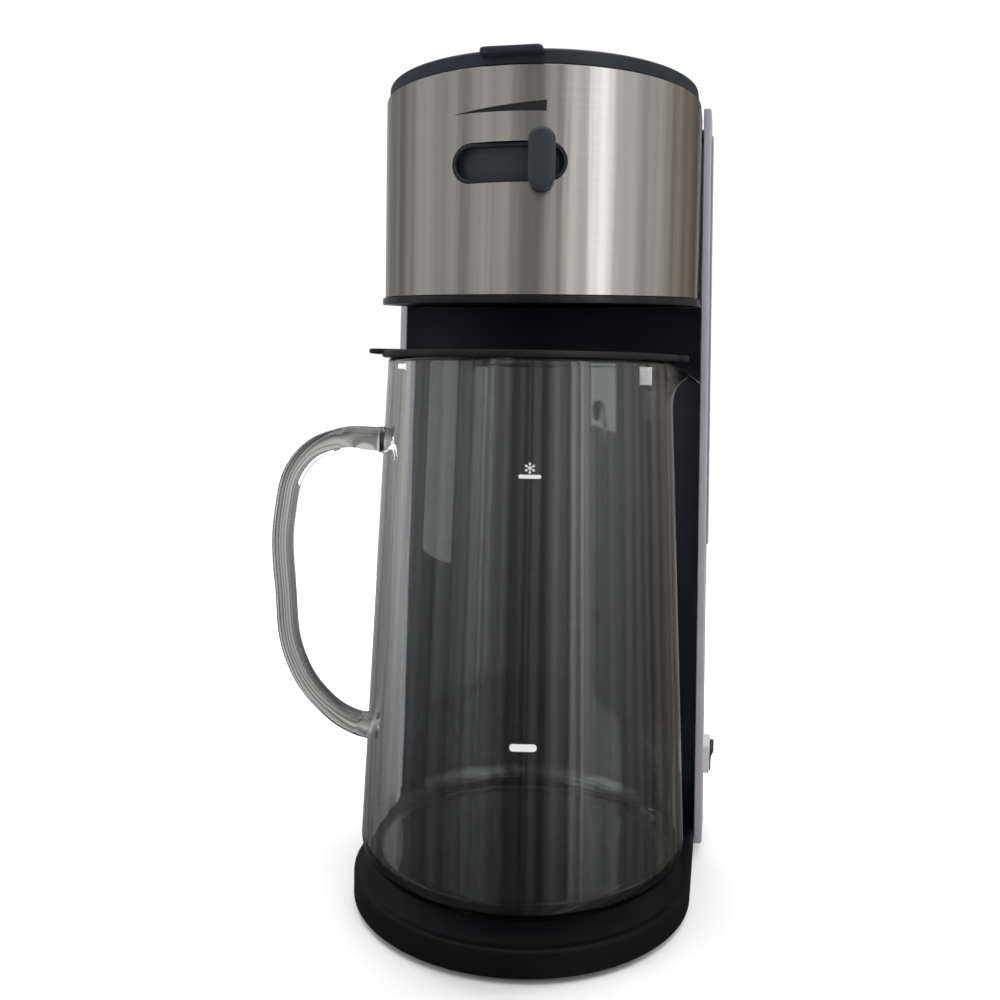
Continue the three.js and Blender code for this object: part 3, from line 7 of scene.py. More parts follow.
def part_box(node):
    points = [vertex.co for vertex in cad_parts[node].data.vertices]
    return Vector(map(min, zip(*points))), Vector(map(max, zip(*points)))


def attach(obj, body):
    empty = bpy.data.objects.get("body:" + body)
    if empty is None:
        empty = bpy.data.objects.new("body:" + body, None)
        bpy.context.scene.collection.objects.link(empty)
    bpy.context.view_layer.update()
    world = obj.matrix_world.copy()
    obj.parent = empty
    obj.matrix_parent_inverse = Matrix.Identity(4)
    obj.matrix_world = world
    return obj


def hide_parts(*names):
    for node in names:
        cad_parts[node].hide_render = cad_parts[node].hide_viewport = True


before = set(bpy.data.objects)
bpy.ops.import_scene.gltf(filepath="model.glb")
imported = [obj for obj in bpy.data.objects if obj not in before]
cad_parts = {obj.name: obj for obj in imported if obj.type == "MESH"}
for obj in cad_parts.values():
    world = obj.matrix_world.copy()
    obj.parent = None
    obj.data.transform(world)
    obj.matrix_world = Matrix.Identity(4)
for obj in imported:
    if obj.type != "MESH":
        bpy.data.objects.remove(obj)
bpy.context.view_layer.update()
mm = 0.001

# Camera, pale floor and soft studio light. The camera stands a little to the right of the machine's front, at
# the height of the pitcher's rim, where the photograph was taken from.
band_low, band_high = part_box("steel_band")
head_radius = 79.5
head_x = (band_low.x + band_high.x) / 2
head_y = band_low.y + head_radius * mm


def placed(name, data):
    """A new object in the scene."""
    made = bpy.data.objects.new(name, data)
    bpy.context.collection.objects.link(made)
    return made


camera_data = bpy.data.cameras.new("view_camera")
camera_data.sensor_width = 36
camera_data.lens = 36.17
camera_data.shift_x = -0.015
camera_data.shift_y = -0.070
camera_data.clip_start = 0.01
camera = placed("view_camera", camera_data)
bpy.context.scene.camera = camera
around, yaw, pitch, roll = (math.radians(a) for a in (10.46, -1.32, -3.05, 0.95))
ahead = Vector((math.sin(yaw) * math.cos(pitch), math.cos(yaw) * math.cos(pitch), math.sin(pitch)))
right = Vector((math.cos(yaw), -math.sin(yaw), 0))
level_up = right.cross(ahead)
side = math.cos(roll) * right + math.sin(roll) * level_up
up = math.cos(roll) * level_up - math.sin(roll) * right
turn = Matrix.Rotation(around, 3, "Z")
axes = Matrix([turn @ side, turn @ up, turn @ -ahead]).transposed().to_4x4()
camera.matrix_world = Matrix.Translation((head_x + 94.99 * mm, head_y - 514.4 * mm, 259.28 * mm)) @ axes


def new_finish(name):
    """A new material and its shader."""
    material = bpy.data.materials.new(name)
    material.use_nodes = True
    return material, material.node_tree.nodes["Principled BSDF"]


def bridged(rings, ring_closed=True, loop=False, caps=False):
    """Vertices and faces of rings of equal length, joined one to the next."""
    count = len(rings[0])
    vertices = [point for ring in rings for point in ring]
    faces = []
    last = len(rings) if loop else len(rings) - 1
    for i in range(last):
        a, b = i * count, ((i + 1) % len(rings)) * count
        for j in range(count if ring_closed else count - 1):
            k = (j + 1) % count
            faces.append((a + j, a + k, b + k, b + j))
    if caps:
        faces.append(tuple(range(count)))
        faces.append(tuple(range((len(rings) - 1) * count, len(rings) * count)))
    return vertices, faces


def studio_part(name, rings, paint, ring_closed=False):
    """A smooth surface of the studio, which shows in no gloss or glass."""
    vertices, faces = bridged(rings, ring_closed)
    mesh = bpy.data.meshes.new(name)
    mesh.from_pydata(vertices, [], faces)
    mesh.shade_smooth()
    mesh.materials.append(paint)
    made = placed(name, mesh)
    made.visible_glossy = made.visible_transmission = False
    return made


def across(line, half_width=4):
    """Rings from side to side of the studio, along a line of depth and height."""
    return [[(-half_width, y, z), (half_width, y, z)] for y, z in line]


floor_paint, floor_shader = new_finish("pale_floor")
floor_shader.inputs["Base Color"].default_value = (0.93, 0.93, 0.93, 1)
floor_shader.inputs["Roughness"].default_value = 0.9
studio_part("floor", across([(-3, 0.0), (0.9, 0.0)]), floor_paint)
sweep = studio_part("sweep", across([(0.9, 0.0), (1.15, 0.04), (1.33, 0.17), (1.4, 0.4), (1.4, 3.2)]), floor_paint)
sweep.visible_camera = False

# A plain white surround closes the studio behind the floor on every side. It only forms the background: it neither
# lights the object nor shows in its gloss or glass.
surround_paint, surround_shader = new_finish("white_surround")
surround_shader.inputs["Base Color"].default_value = (0, 0, 0, 1)
surround_shader.inputs["Emission Color"].default_value = (1, 1, 1, 1)
surround_shader.inputs["Emission Strength"].default_value = 1.0
surround_profile = [(0.75, 0.0005), (2.3, 0.0005), (2.5, 0.06), (2.6, 0.3), (2.6, 4.0)]
surround_turns = [2 * math.pi * i / 96 for i in range(96)]
surround_rings = [[(r * math.cos(a), r * math.sin(a), z) for a in surround_turns] for r, z in surround_profile]
surround = studio_part("surround", surround_rings, surround_paint, ring_closed=True)
surround.visible_diffuse = surround.visible_shadow = False

# The studio's surroundings are soft upright panels, pale ones with dim gaps, a bright window at the front right and
# a warm wall beside it. They shade off towards the floor. A panel is its direction as a share of a turn, its
# strength and its warmth.
panels = [(0.0, 0.44, 0.02), (0.07, 0.56, 0.02), (0.12, 0.40, 0.03), (0.20, 0.58, 0.04), (0.25, 0.22, 0.05)]
panels += [(0.30, 0.48, 0.05), (0.36, 1.0, 0.03), (0.385, 2.0, 0.0), (0.405, 2.0, 0.0), (0.42, 0.8, 0.0)]
panels += [(0.52, 0.58, 0.05), (0.60, 0.32, 0.2), (0.69, 0.12, 0.2), (0.80, 0.45, 0.05), (0.93, 0.24, 0.03)]
world = bpy.data.worlds.new("studio")
bpy.context.scene.world = world
world.use_nodes = True
sky = world.node_tree


def feed(node, sources):
    """Links outputs to a node's inputs."""
    for name, source in sources.items():
        node.id_data.links.new(source, node.inputs[name])


def add_node(tree, kind, values=None, sources=None, **settings):
    """A new node with its settings, and with values and sources for its inputs."""
    made = tree.nodes.new(kind)
    for name, setting in settings.items():
        setattr(made, name, setting)
    for name, value in (values or {}).items():
        made.inputs[name].default_value = value
    feed(made, sources or {})
    return made


def ranged(tree, source, from_low, from_high, to_low, to_high):
    """Maps an output from one range of values to another."""
    values = {"From Min": from_low, "From Max": from_high, "To Min": to_low, "To Max": to_high}
    return add_node(tree, "ShaderNodeMapRange", values, {"Value": source}).outputs["Result"]


sky_place = add_node(sky, "ShaderNodeTexCoord").outputs["Generated"]
sky_round = add_node(sky, "ShaderNodeTexGradient", sources={"Vector": sky_place}, gradient_type="RADIAL")
sky_panels = add_node(sky, "ShaderNodeValToRGB", sources={"Fac": sky_round.outputs["Fac"]})
sky_stops = sky_panels.color_ramp.elements
for number, (share, strength, warmth) in enumerate(panels):
    stop = sky_stops[0] if number == 0 else sky_stops.new(share)
    stop.position = share
    stop.color = (strength / 2, strength / 2 * (1 - warmth / 2), strength / 2 * (1 - warmth), 1)
sky_stops[-1].position = 1
sky_stops[-1].color = sky_stops[0].color
# The room behind the panels is full of upright edges, which gives glass and steel their fine upright streaks.
edge_values = {"Scale": 46, "Detail": 3, "Roughness": 0.6}
sky_edges = add_node(sky, "ShaderNodeTexNoise", edge_values, {"W": sky_round.outputs["Fac"]}, noise_dimensions="1D")
sky_contrast = ranged(sky, sky_edges.outputs["Fac"], 0.36, 0.64, 0.45, 1.4)
sky_level = add_node(sky, "ShaderNodeSeparateXYZ", sources={"Vector": sky_place})
sky_fade = ranged(sky, sky_level.outputs["Z"], -0.5, 0.0, 0.5, 2.0)
sky_strength = add_node(sky, "ShaderNodeMath", sources={0: sky_fade, 1: sky_contrast}, operation="MULTIPLY")
feed(sky.nodes["Background"], {"Color": sky_panels.outputs["Color"], "Strength": sky_strength.outputs["Value"]})
bpy.context.scene.view_settings.view_transform = "Standard"


def softbox(name, place, aim, width, height, power, reflects=True):
    """An area light that looks at a point."""
    light = bpy.data.lights.new(name, "AREA")
    light.shape = "RECTANGLE"
    light.size = width
    light.size_y = height
    light.energy = power
    lamp = placed(name, light)
    lamp.location = place
    lamp.rotation_euler = (Vector(aim) - Vector(place)).to_track_quat("-Z", "Y").to_euler()
    lamp.visible_glossy = reflects


softbox("top_softbox", (0.0, 0.1, 1.9), (0, 0.0, 0.2), 2.2, 2.2, 26)
softbox("left_softbox", (-1.5, -0.9, 0.7), (0, 0, 0.25), 0.9, 1.5, 8, reflects=False)
softbox("backdrop_left", (-1.6, 0.9, 1.1), (0, 1.4, 0.5), 0.8, 1.6, 24, reflects=False)
softbox("backdrop_right", (1.6, 0.9, 1.1), (0, 1.4, 0.5), 0.8, 1.6, 24, reflects=False)

# Base housing: one injection moulding in matt black, with a rounded ridge round its edge, a sloped dome and a
# raised landing for the pitcher. It is screwed down to a flat plate from below.
side_end = 60.0
base_half, base_front_y, base_depth = 84.4 * mm, -24 * mm, 92.8 * mm
roof_inset, roof_back, roof_low, roof_high = 8.9 * mm, 68 * mm, 12.4 * mm, 14.98 * mm
sharp_angle = 32
ridge_low, ridge_round = 13.3, 1.7
base_profile = [(2.5, 2.6), (0.5, 2.5), (0, 3.0), (0, ridge_low)]
for a in (0.4, 0.8, 1.2, math.pi / 2):
    base_profile.append((ridge_round - ridge_round * math.cos(a), ridge_low + ridge_round * math.sin(a)))
base_profile += [(9, 15.0), (9, 12.5), (2.5, 12.5)]
dome_profile = [(0, 18.4), (66, 18.4), (78.6, 12.6), (80.9, 12.6), (80.9, 14.9), (80.2, 15.05), (79.2, 15.45)]
dome_profile += [(69.6, 20.2), (68.8, 20.7), (67.8, 20.95), (66.8, 21.0), (63.8, 21.0), (63.6, 20.8), (63.5, 20.4)]
dome_profile += [(62.1, 20.4), (62.0, 20.8), (61.8, 21.0), (0, 21.0)]


def oval_ring(half, front_y, depth, inset, z, steps=64):
    """Round front, straight sides and an oval back, drawn in by inset."""
    points = []
    for i in range(steps + 1):
        angle = math.pi * (1 + i / steps)
        points.append(((half - inset) * math.cos(angle), front_y + (half - inset) * math.sin(angle), z))
    for i in range(steps + 1):
        angle = math.pi * i / steps
        points.append(((half - inset) * math.cos(angle), side_end * mm + (depth - inset) * math.sin(angle), z))
    return points


def turned(profile, steps, y=0.0):
    """A profile of radius and height in millimetres, turned about an upright line. It may end on that line."""
    on_axis = profile[0][0] == 0
    rings = []
    for i in range(steps):
        angle = 2 * math.pi * i / steps
        rings.append([(r * mm * math.cos(angle), y + r * mm * math.sin(angle), z * mm) for r, z in profile])
    return bridged(rings, ring_closed=not on_axis, loop=True)


def tidied(mesh):
    """Merges a closed mesh's doubles and turns its faces outwards."""
    work = bmesh.new()
    work.from_mesh(mesh)
    bmesh.ops.remove_doubles(work, verts=work.verts, dist=1e-6)
    bmesh.ops.dissolve_degenerate(work, edges=work.edges, dist=1e-7)
    bmesh.ops.recalc_face_normals(work, faces=work.faces)
    if work.calc_volume(signed=True) < 0:
        bmesh.ops.reverse_faces(work, faces=work.faces)
    work.to_mesh(mesh)
    work.free()


def piece(name, shapes, material, body, node_names=(), smooth_angle=sharp_angle, shift=None):
    """One object from closed shapes, placed in the row frame, smooth but for its sharp edges."""
    mesh = bpy.data.meshes.new(name)
    vertices, faces = [], []
    for shape_vertices, shape_faces in shapes:
        start = len(vertices)
        vertices += shape_vertices
        faces += [tuple(start + i for i in face) for face in shape_faces]
    move = Vector((head_x, head_y, 0)) if shift is None else shift
    mesh.from_pydata([Vector(v) + move for v in vertices], [], faces)
    tidied(mesh)
    mesh.shade_smooth()
    mesh.set_sharp_from_angle(angle=math.radians(smooth_angle))
    made = placed(name, mesh)
    mesh.materials.append(material)
    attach(made, body)
    if node_names:
        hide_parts(*node_names)
    return made


def noise(shader, scale, detail=2, roughness=0.5, stretch=(1, 1, 1)):
    """A noise in the object's own coordinates, which stretch multiplies."""
    place = add_node(shader.id_data, "ShaderNodeTexCoord").outputs["Object"]
    if stretch != (1, 1, 1):
        place = add_node(shader.id_data, "ShaderNodeMapping", {"Scale": stretch}, {"Vector": place}).outputs["Vector"]
    values = {"Scale": scale, "Detail": detail, "Roughness": roughness}
    return add_node(shader.id_data, "ShaderNodeTexNoise", values, {"Vector": place}).outputs["Fac"]


def tint(shader, pattern, dark, light, low=0.0, high=1.0):
    """Lets a pattern choose the colour between two tones, which it reaches at low and high."""
    ramp = add_node(shader.id_data, "ShaderNodeValToRGB", sources={"Fac": pattern})
    for stop, position, tone in zip(ramp.color_ramp.elements, (low, high), (dark, light)):
        stop.position = position
        stop.color = (*tone, 1)
    feed(shader, {"Base Color": ramp.outputs["Color"]})
    return ramp.color_ramp


def rub(shader, pattern, low, high):
    """Lets a pattern vary the roughness."""
    feed(shader, {"Roughness": ranged(shader.id_data, pattern, 0, 1, low, high)})


def bump(shader, pattern, strength, distance, over=None):
    """Lets a pattern raise the surface by a distance in metres, over another bump where one is given."""
    sources = {"Height": pattern} if over is None else {"Height": pattern, "Normal": over}
    raised = add_node(shader.id_data, "ShaderNodeBump", {"Strength": strength, "Distance": distance}, sources)
    feed(shader, {"Normal": raised.outputs["Normal"]})
    return raised.outputs["Normal"]


def moulded(name, colour, roughness, grain=0.06, grain_scale=2600, mottle=0.12, shine=0.5):
    """Moulded plastic: a fine spark-eroded grain, slow colour drift, and roughness that varies with handling."""
    material, shader = new_finish(name)
    drift = noise(shader, 24, 3)
    dark, light = ([min(1, c * share) for c in colour] for share in (1 - mottle, 1 + mottle))
    tint(shader, drift, dark, light, 0.3, 0.75).interpolation = "EASE"
    rub(shader, drift, roughness - 0.05, roughness + 0.07)
    bump(shader, noise(shader, grain_scale), grain, 0.0002)
    shader.inputs["Specular IOR Level"].default_value = shine
    return material


matt_black = moulded("matt_black_moulding", (0.003, 0.0033, 0.0042), 0.46, grain=0.1, shine=0.12)
base_rings = [oval_ring(base_half, base_front_y, base_depth, d * mm, z * mm) for d, z in base_profile]
roof_oval = oval_ring(base_half, base_front_y, base_depth, roof_inset, 0)
roof_outline = [(x, y) for x, y, _ in roof_oval if base_front_y <= y <= roof_back]
roof = bridged([[(x, y, z) for x, y in roof_outline] for z in (roof_low, roof_high)], caps=True)
piece(
    "base_cover",
    [bridged(base_rings, loop=True), roof, turned(dome_profile, 160, y=base_front_y)],
    matt_black,
    "machine",
    ["base_housing"],
)

# Base plate, feet and screws: a flat vented plate closes the base, with soft rubber feet pushed into it and
# plain steel screws. They keep their CAD shapes and get their own finishes.
foot_rubber = moulded("foot_rubber", (0.02, 0.02, 0.021), 0.8, grain=0.3, grain_scale=900, mottle=0.25)
screw_steel, screw_shader = new_finish("zinc_screw")
screw_shader.inputs["Metallic"].default_value = 1
screw_shader.inputs["Roughness"].default_value = 0.35
tint(screw_shader, noise(screw_shader, 3000), (0.38, 0.39, 0.41), (0.6, 0.6, 0.6))


def dress(material, *names):
    """A CAD node keeps its shape and takes this finish."""
    for name in names:
        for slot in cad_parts[name].material_slots:
            slot.link = "OBJECT"
            slot.material = material


dress(matt_black, "base_plate")
dress(foot_rubber, "foot_front_left", "foot_front_right", "foot_rear_left", "foot_rear_right")
dress(
    screw_steel,
    *(f"screw_{place}_{hand}" for place in ("front", "mid", "rear") for hand in ("left", "right")),
    "lid_hinge_pin",
)

# Tower front: a tall black panel, hollowed by one arc so that the pitcher can stand in it. It is moulded with a
# gloss finish and is held between the shell's two front edges.
seam_y, niche_back_y, panel_half, panel_wall = 29.0, 60.0, 79.8, 2.5
shell_half, shell_flare, shell_top = 84.0, 5.0, 401.0
niche_radius = (panel_half**2 + (niche_back_y - seam_y) ** 2) / (2 * (niche_back_y - seam_y))
niche_centre_y = niche_back_y - niche_radius
head_climb, head_front_y = 6.0, -head_radius
panel_low, panel_high = 15.3, 291.2


def flare(z):
    """How much wider than at its top the tower is at a height in millimetres."""
    return 1 + shell_flare / shell_half * (shell_top - z) / shell_top


def climb_at(y):
    """Rise of the head's lower edge from its front to a place further back, in millimetres."""
    return head_climb * (y - head_front_y) / (seam_y - head_front_y)


def niche_y(offset, x):
    """Depth of the panel's hollow face at x, or of a face behind it."""
    return niche_centre_y + math.sqrt((niche_radius + offset) ** 2 - x**2)


def panel_ring(z, climbs=False, steps=72):
    """Outline of the panel at a height, or along the head's climbing lower edge."""
    inner = panel_half - panel_wall
    end_y = niche_y(panel_wall, inner) + 1
    front = [(-panel_half + 2 * panel_half * i / steps) for i in range(steps + 1)]
    points = [(x, niche_y(0, x)) for x in front]
    points += [(panel_half, end_y), (inner, end_y)]
    points += [(x, niche_y(panel_wall, x)) for x in (inner - 2 * inner * i / steps for i in range(steps + 1))]
    points += [(-inner, end_y), (-panel_half, end_y)]
    levels = [z + climb_at(y) if climbs else z for x, y in points]
    return [(x * mm * flare(level), y * mm, level * mm) for (x, y), level in zip(points, levels)]


piano_black = moulded("piano_black_moulding", (0.004, 0.006, 0.013), 0.34, grain=0.0, mottle=0.1, shine=0.3)
panel_shape = bridged([panel_ring(panel_low), panel_ring(panel_high, climbs=True)], caps=True)
piece("tower_panel", [panel_shape], piano_black, "machine", ["tower_front"])

# Rear shell: a deep casing in silver-grey metallic plastic, drawn slightly wider towards the bottom. Its front
# edges are thickened inwards, and it has openings for the gauge, the switch and the cord.
shell_depth, shell_wall, shell_edge, shell_bottom = 96.0, 2.7, 3.9, 7.5
gauge_y, gauge_half, gauge_low, gauge_high = 46.0, 7.0, 168.5, 391.0
switch_y, switch_z, switch_half_y, switch_half_z = 46.0, 51.5, 10.5, 8.0
side_reach, back_reach = (78, 92), (148, 160)


def shell_ring(z, inset, steps=72):
    """Outside of the casing, drawn in by inset, its left front edge, its inside and its right front edge."""
    half, depth = shell_half - inset, shell_depth - inset
    inner, inner_depth = shell_half - shell_wall, shell_depth - shell_wall
    edge = shell_half - shell_edge
    angles = [math.pi * i / steps for i in range(steps)]
    points = [(half, seam_y + 0.8)] + [(half * math.cos(a), side_end + depth * math.sin(a)) for a in angles]
    points += [(-half, side_end), (-half, seam_y + 0.8), (-half + 0.25, seam_y + 0.23), (-half + 0.8, seam_y)]
    points += [(-edge - 0.3, seam_y), (-edge, seam_y + 0.3), (-edge, seam_y + 2.5), (-inner, seam_y + 2.5)]
    angles = [math.pi * (1 - i / steps) for i in range(steps + 1)]
    points += [(inner * math.cos(a), side_end + inner_depth * math.sin(a)) for a in angles]
    points += [(inner, seam_y + 2.5), (edge, seam_y + 2.5), (edge, seam_y + 0.3), (edge + 0.3, seam_y)]
    points += [(half - 0.8, seam_y), (half - 0.25, seam_y + 0.23)]
    return [(x * mm * flare(z), y * mm, z * mm) for x, y in points]


def evaluated_mesh(source):
    """A mesh of its own of what an object shows."""
    bpy.context.view_layer.update()
    return bpy.data.meshes.new_from_object(source.evaluated_get(bpy.context.evaluated_depsgraph_get()))


def combine(target, tool, operation, solver):
    """Makes the result of a boolean the target's mesh. The tool goes."""
    modifier = target.modifiers.new("combine", "BOOLEAN")
    modifier.operation = operation
    modifier.solver = solver
    modifier.object = tool
    result = evaluated_mesh(target)
    target.modifiers.remove(modifier)
    target.data = result
    bpy.data.objects.remove(tool)


def cut(target, cutters):
    """Cuts shapes out of a piece."""
    for vertices, faces in cutters:
        mesh = bpy.data.meshes.new("cutter")
        mesh.from_pydata([Vector(v) + Vector((head_x, head_y, 0)) for v in vertices], [], faces)
        tidied(mesh)
        combine(target, placed("cutter", mesh), "DIFFERENCE", "EXACT")
    target.data.shade_smooth()
    target.data.set_sharp_from_angle(angle=math.radians(sharp_angle))


def track(centre_u, centre_v, half_u, half_v, radius, steps=12):
    """Outline of a rectangle with round corners."""
    points = []
    for index, (su, sv) in enumerate(((1, -1), (1, 1), (-1, 1), (-1, -1))):
        for i in range(steps + 1):
            angle = math.pi / 2 * (index - 1 + i / steps)
            points.append(
                (
                    centre_u + su * (half_u - radius) + radius * math.cos(angle),
                    centre_v + sv * (half_v - radius) + radius * math.sin(angle),
                )
            )
    return points


def circle(centre_u, centre_v, radius, steps=32):
    """Outline of a circle."""
    angles = [2 * math.pi * i / steps for i in range(steps)]
    return [(centre_u + radius * math.cos(a), centre_v + radius * math.sin(a)) for a in angles]


def stacked(layers, axis=2):
    """A closed shape from layers in millimetres, each an outline and its place along the axis that it lies across."""
    rings = []
    for outline, place in layers:
        rings.append([tuple(c * mm for c in (*point[:axis], place, *point[axis:])) for point in outline])
    return bridged(rings, caps=True)


silver_shell = moulded("silver_metallic_moulding", (0.47, 0.455, 0.515), 0.34, 0.05, grain_scale=3200, mottle=0.03)
silver_shell.node_tree.nodes["Principled BSDF"].inputs["Metallic"].default_value = 0.35
shell_levels = [(shell_bottom, 0.7), (shell_bottom + 0.25, 0.25), (shell_bottom + 0.8, 0)]
shell_levels += [(shell_top - 0.8, 0), (shell_top - 0.25, 0.22), (shell_top, 0.7)]
shell_shape = bridged([shell_ring(z, d) for z, d in shell_levels], caps=True)
casing = piece("shell_casing", [shell_shape], silver_shell, "machine", ["rear_shell"])
gauge_middle, gauge_half_z = (gauge_low + gauge_high) / 2, (gauge_high - gauge_low) / 2
gauge_hole = track(gauge_y, gauge_middle, gauge_half, gauge_half_z, 6.9)
switch_hole = track(switch_y, switch_z, switch_half_y, switch_half_z, 1.5)
gland_low, gland_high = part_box("cord_gland")
cord_hole = circle(0, (gland_low.z + gland_high.z) / 2 / mm, 6.3)
holes = [stacked([(hole, x) for x in side_reach], axis=0) for hole in (gauge_hole, switch_hole)]
cut(casing, holes + [stacked([(cord_hole, y) for y in back_reach], axis=1)])

# Inner ledge of the casing: a flange moulded inside the top of the shell, under the edge of the lid, that keeps
# spills out of the tower.
ledge_width, ledge_sunk, ledge_low, ledge_high = 8.0, 0.5, 390.5, 393.0
ledge_front, ledge_back = 41.0, 118.0


def ledge_half(hand, steps=24):
    """The ledge on one side, whose outer edge is sunk into the wall. Hand is 1 or -1."""
    half, depth = shell_half - shell_wall + ledge_sunk, shell_depth - shell_wall + ledge_sunk
    top_angle = math.asin((ledge_back - side_end) / (shell_depth - shell_wall))
    angles = [top_angle * i / steps for i in range(steps + 1)]
    points = [(half, ledge_front)] + [(half * math.cos(a), side_end + depth * math.sin(a)) for a in angles]
    half, depth = half - ledge_width, depth - ledge_width
    points += [(half * math.cos(a), side_end + depth * math.sin(a)) for a in reversed(angles)] + [(half, ledge_front)]
    levels = (ledge_low, ledge_high)
    return bridged([[(hand * x * mm * flare(z), y * mm, z * mm) for x, y in points] for z in levels], caps=True)


piece("shell_ledge", [ledge_half(1), ledge_half(-1)], silver_shell, "machine")

# Water gauge: a clear strip pushed into the shell from inside and standing a little proud, with a rounded edge.
# Like every seated piece here it leaves a fine gap all round.
seat = 0.3
clear_strip, strip_shader = new_finish("clear_gauge_strip")
strip_shader.inputs["Base Color"].default_value = (0.86, 0.88, 0.92, 1)
strip_shader.inputs["Transmission Weight"].default_value = 0.85
strip_shader.inputs["IOR"].default_value = 1.49
strip_shader.inputs["Specular IOR Level"].default_value = 0.5
rub(strip_shader, noise(strip_shader, 60, stretch=(250, 71, 4.5)), 0.12, 0.3)
strip_steps = [(0, 81.0), (0, 84.3), (0.15, 84.7), (0.6, 84.95), (1.2, 85.0)]


def gauge_ring(inset, x):
    """The strip's outline at a depth, drawn in by inset, that follows the shell's slope."""
    outline = track(gauge_y, gauge_middle, gauge_half - seat - inset, gauge_half_z - seat - inset, 6.7 - inset)
    return [(x * mm * flare(v), u * mm, v * mm) for u, v in outline]


piece(
    "gauge_strip",
    [bridged([gauge_ring(d, x) for d, x in strip_steps], caps=True)],
    clear_strip,
    "machine",
    ["gauge_window"],
)

tank_white = moulded("natural_white_moulding", (0.62, 0.63, 0.63), 0.45, mottle=0.05)
hose_silicone = moulded("silicone_hose", (0.6, 0.56, 0.48), 0.55, grain=0.1, mottle=0.08)
cast_heater = moulded("cast_aluminium", (0.5, 0.51, 0.52), 0.5, grain=0.5, grain_scale=700, mottle=0.15)
cast_heater.node_tree.nodes["Principled BSDF"].inputs["Metallic"].default_value = 1
dress(tank_white, "reservoir", "check_valve", "riser_tube", "bypass_shutter")
dress(hose_silicone, "feed_hose_upper", "feed_hose_lower", "riser_hose")
dress(cast_heater, "flow_heater")
dress(screw_steel, "heater_bracket", "thermal_fuse")
dress(matt_black, "thermostat")
dress(foot_rubber, "tank_grommet", "cord_gland")

# Brewing head: a black moulding that carries the basket. What shows of it is the thin rim under the steel band,
# its flat underside and the sunk deck under the lid.
rim_radius, rim_edge = 80.8, 0.5
rim_low, band_low_z, band_high_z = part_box("head_housing")[0].z / mm, band_low.z / mm, band_high.z / mm
apron_end = seam_y - seat


def apron_ring(radius, z, climbs=False, steps=96):
    """Round front and two straight sides that run back to the tower, in millimetres."""
    angles = (math.pi * (1 + i / steps) for i in range(steps + 1))
    points = [(-radius, apron_end)] + [(radius * math.cos(a), radius * math.sin(a)) for a in angles]
    points.append((radius, apron_end))
    return [(x * mm, y * mm, (z + (climb_at(y) if climbs else 0)) * mm) for x, y in points]


def apron(rings):
    """A closed strip from such rings, with both of its ends closed."""
    count = len(rings[0])
    vertices, faces = bridged(rings, ring_closed=False, loop=True)
    return vertices, faces + [tuple(i * count + end for i in range(len(rings))) for end in (0, count - 1)]


rim_profile = [(76, rim_low + 1.2), (76, rim_low - 0.02), (rim_radius - rim_edge, rim_low - 0.02)]
for a in (0.5, 1.0, math.pi / 2):
    rim_profile.append((rim_radius - rim_edge * (1 - math.sin(a)), rim_low + rim_edge * (1 - math.cos(a))))
rim_profile += [(rim_radius, band_low_z - 1.1), (rim_radius - 0.25, band_low_z - 0.5)]
rim_profile += [(rim_radius - 0.8, band_low_z - 0.3), (78.6, band_low_z - 0.27), (78.2, rim_low + 1.2)]
gloss_black = moulded("gloss_black_moulding", (0.005, 0.0055, 0.008), 0.2, grain=0.02, mottle=0.1, shine=0.35)
rim_shape = apron([apron_ring(r, z, climbs=True) for r, z in rim_profile])
piece("head_rim", [rim_shape], gloss_black, "machine")
dress(matt_black, "head_housing")

# Steel band: one sheet of brushed stainless steel, bent round the head, with the selector's slot pressed
# through. The brushing runs round the head, which draws its reflections out into upright streaks.
brushed, steel = new_finish("brushed_stainless")
steel.inputs["Metallic"].default_value = 1
steel.inputs["Anisotropic"].default_value = 0.8
steel.inputs["Anisotropic Rotation"].default_value = 0.25
steel_grain = noise(steel, 2, 6, 0.7, stretch=(6, 6, 2600))
tint(steel, steel_grain, (0.47, 0.46, 0.44), (0.56, 0.55, 0.53), 0.25, 0.8)
rub(steel, steel_grain, 0.19, 0.27)
steel_round = add_node(brushed.node_tree, "ShaderNodeTangent", direction_type="RADIAL", axis="Z")
feed(steel, {"Tangent": steel_round.outputs["Tangent"]})
steel_fine = bump(steel, steel_grain, 0.025, 0.0001)
bump(steel, noise(steel, 130, stretch=(1, 1, 0.04)), 0.12, 0.001, over=steel_fine)

sheet_wall = 0.8
slot_x, slot_z, slot_half_length, slot_half_height = -1.2, band_low_z + 57.9, 26.2, 8.9
slot_reach = (-84, -60)
band_inside = head_radius - sheet_wall
band_profile = [(band_inside, band_low_z), (head_radius - 0.15, band_low_z), (head_radius, band_low_z + 0.15)]
band_profile += [(head_radius, band_high_z - 0.2), (head_radius - 0.2, band_high_z), (band_inside, band_high_z)]
band_shape = apron([apron_ring(r, z, climbs=z < band_low_z + 1) for r, z in band_profile])
band = piece("steel_wrap", [band_shape], brushed, "machine", ["steel_band"])


def slot_outline(inset):
    """The slot's outline, drawn in by inset, with ends that are all but half round."""
    half_height = slot_half_height - inset
    return track(slot_x, slot_z, slot_half_length - inset, half_height, half_height - 0.01, 16)


cut(band, [stacked([(slot_outline(0), y) for y in slot_reach], axis=1)])

# Strength print: a dark wedge screened on the band over the slot, thin on the left and thick on the right. It
# follows the band's curve.
ink = moulded("screen_print_ink", (0.012, 0.012, 0.013), 0.55, grain=0.15, mottle=0.3, shine=0.3)
wedge_left, wedge_right = (-26.9, 375.2, 375.3), (15.7, 374.9, 379.6)


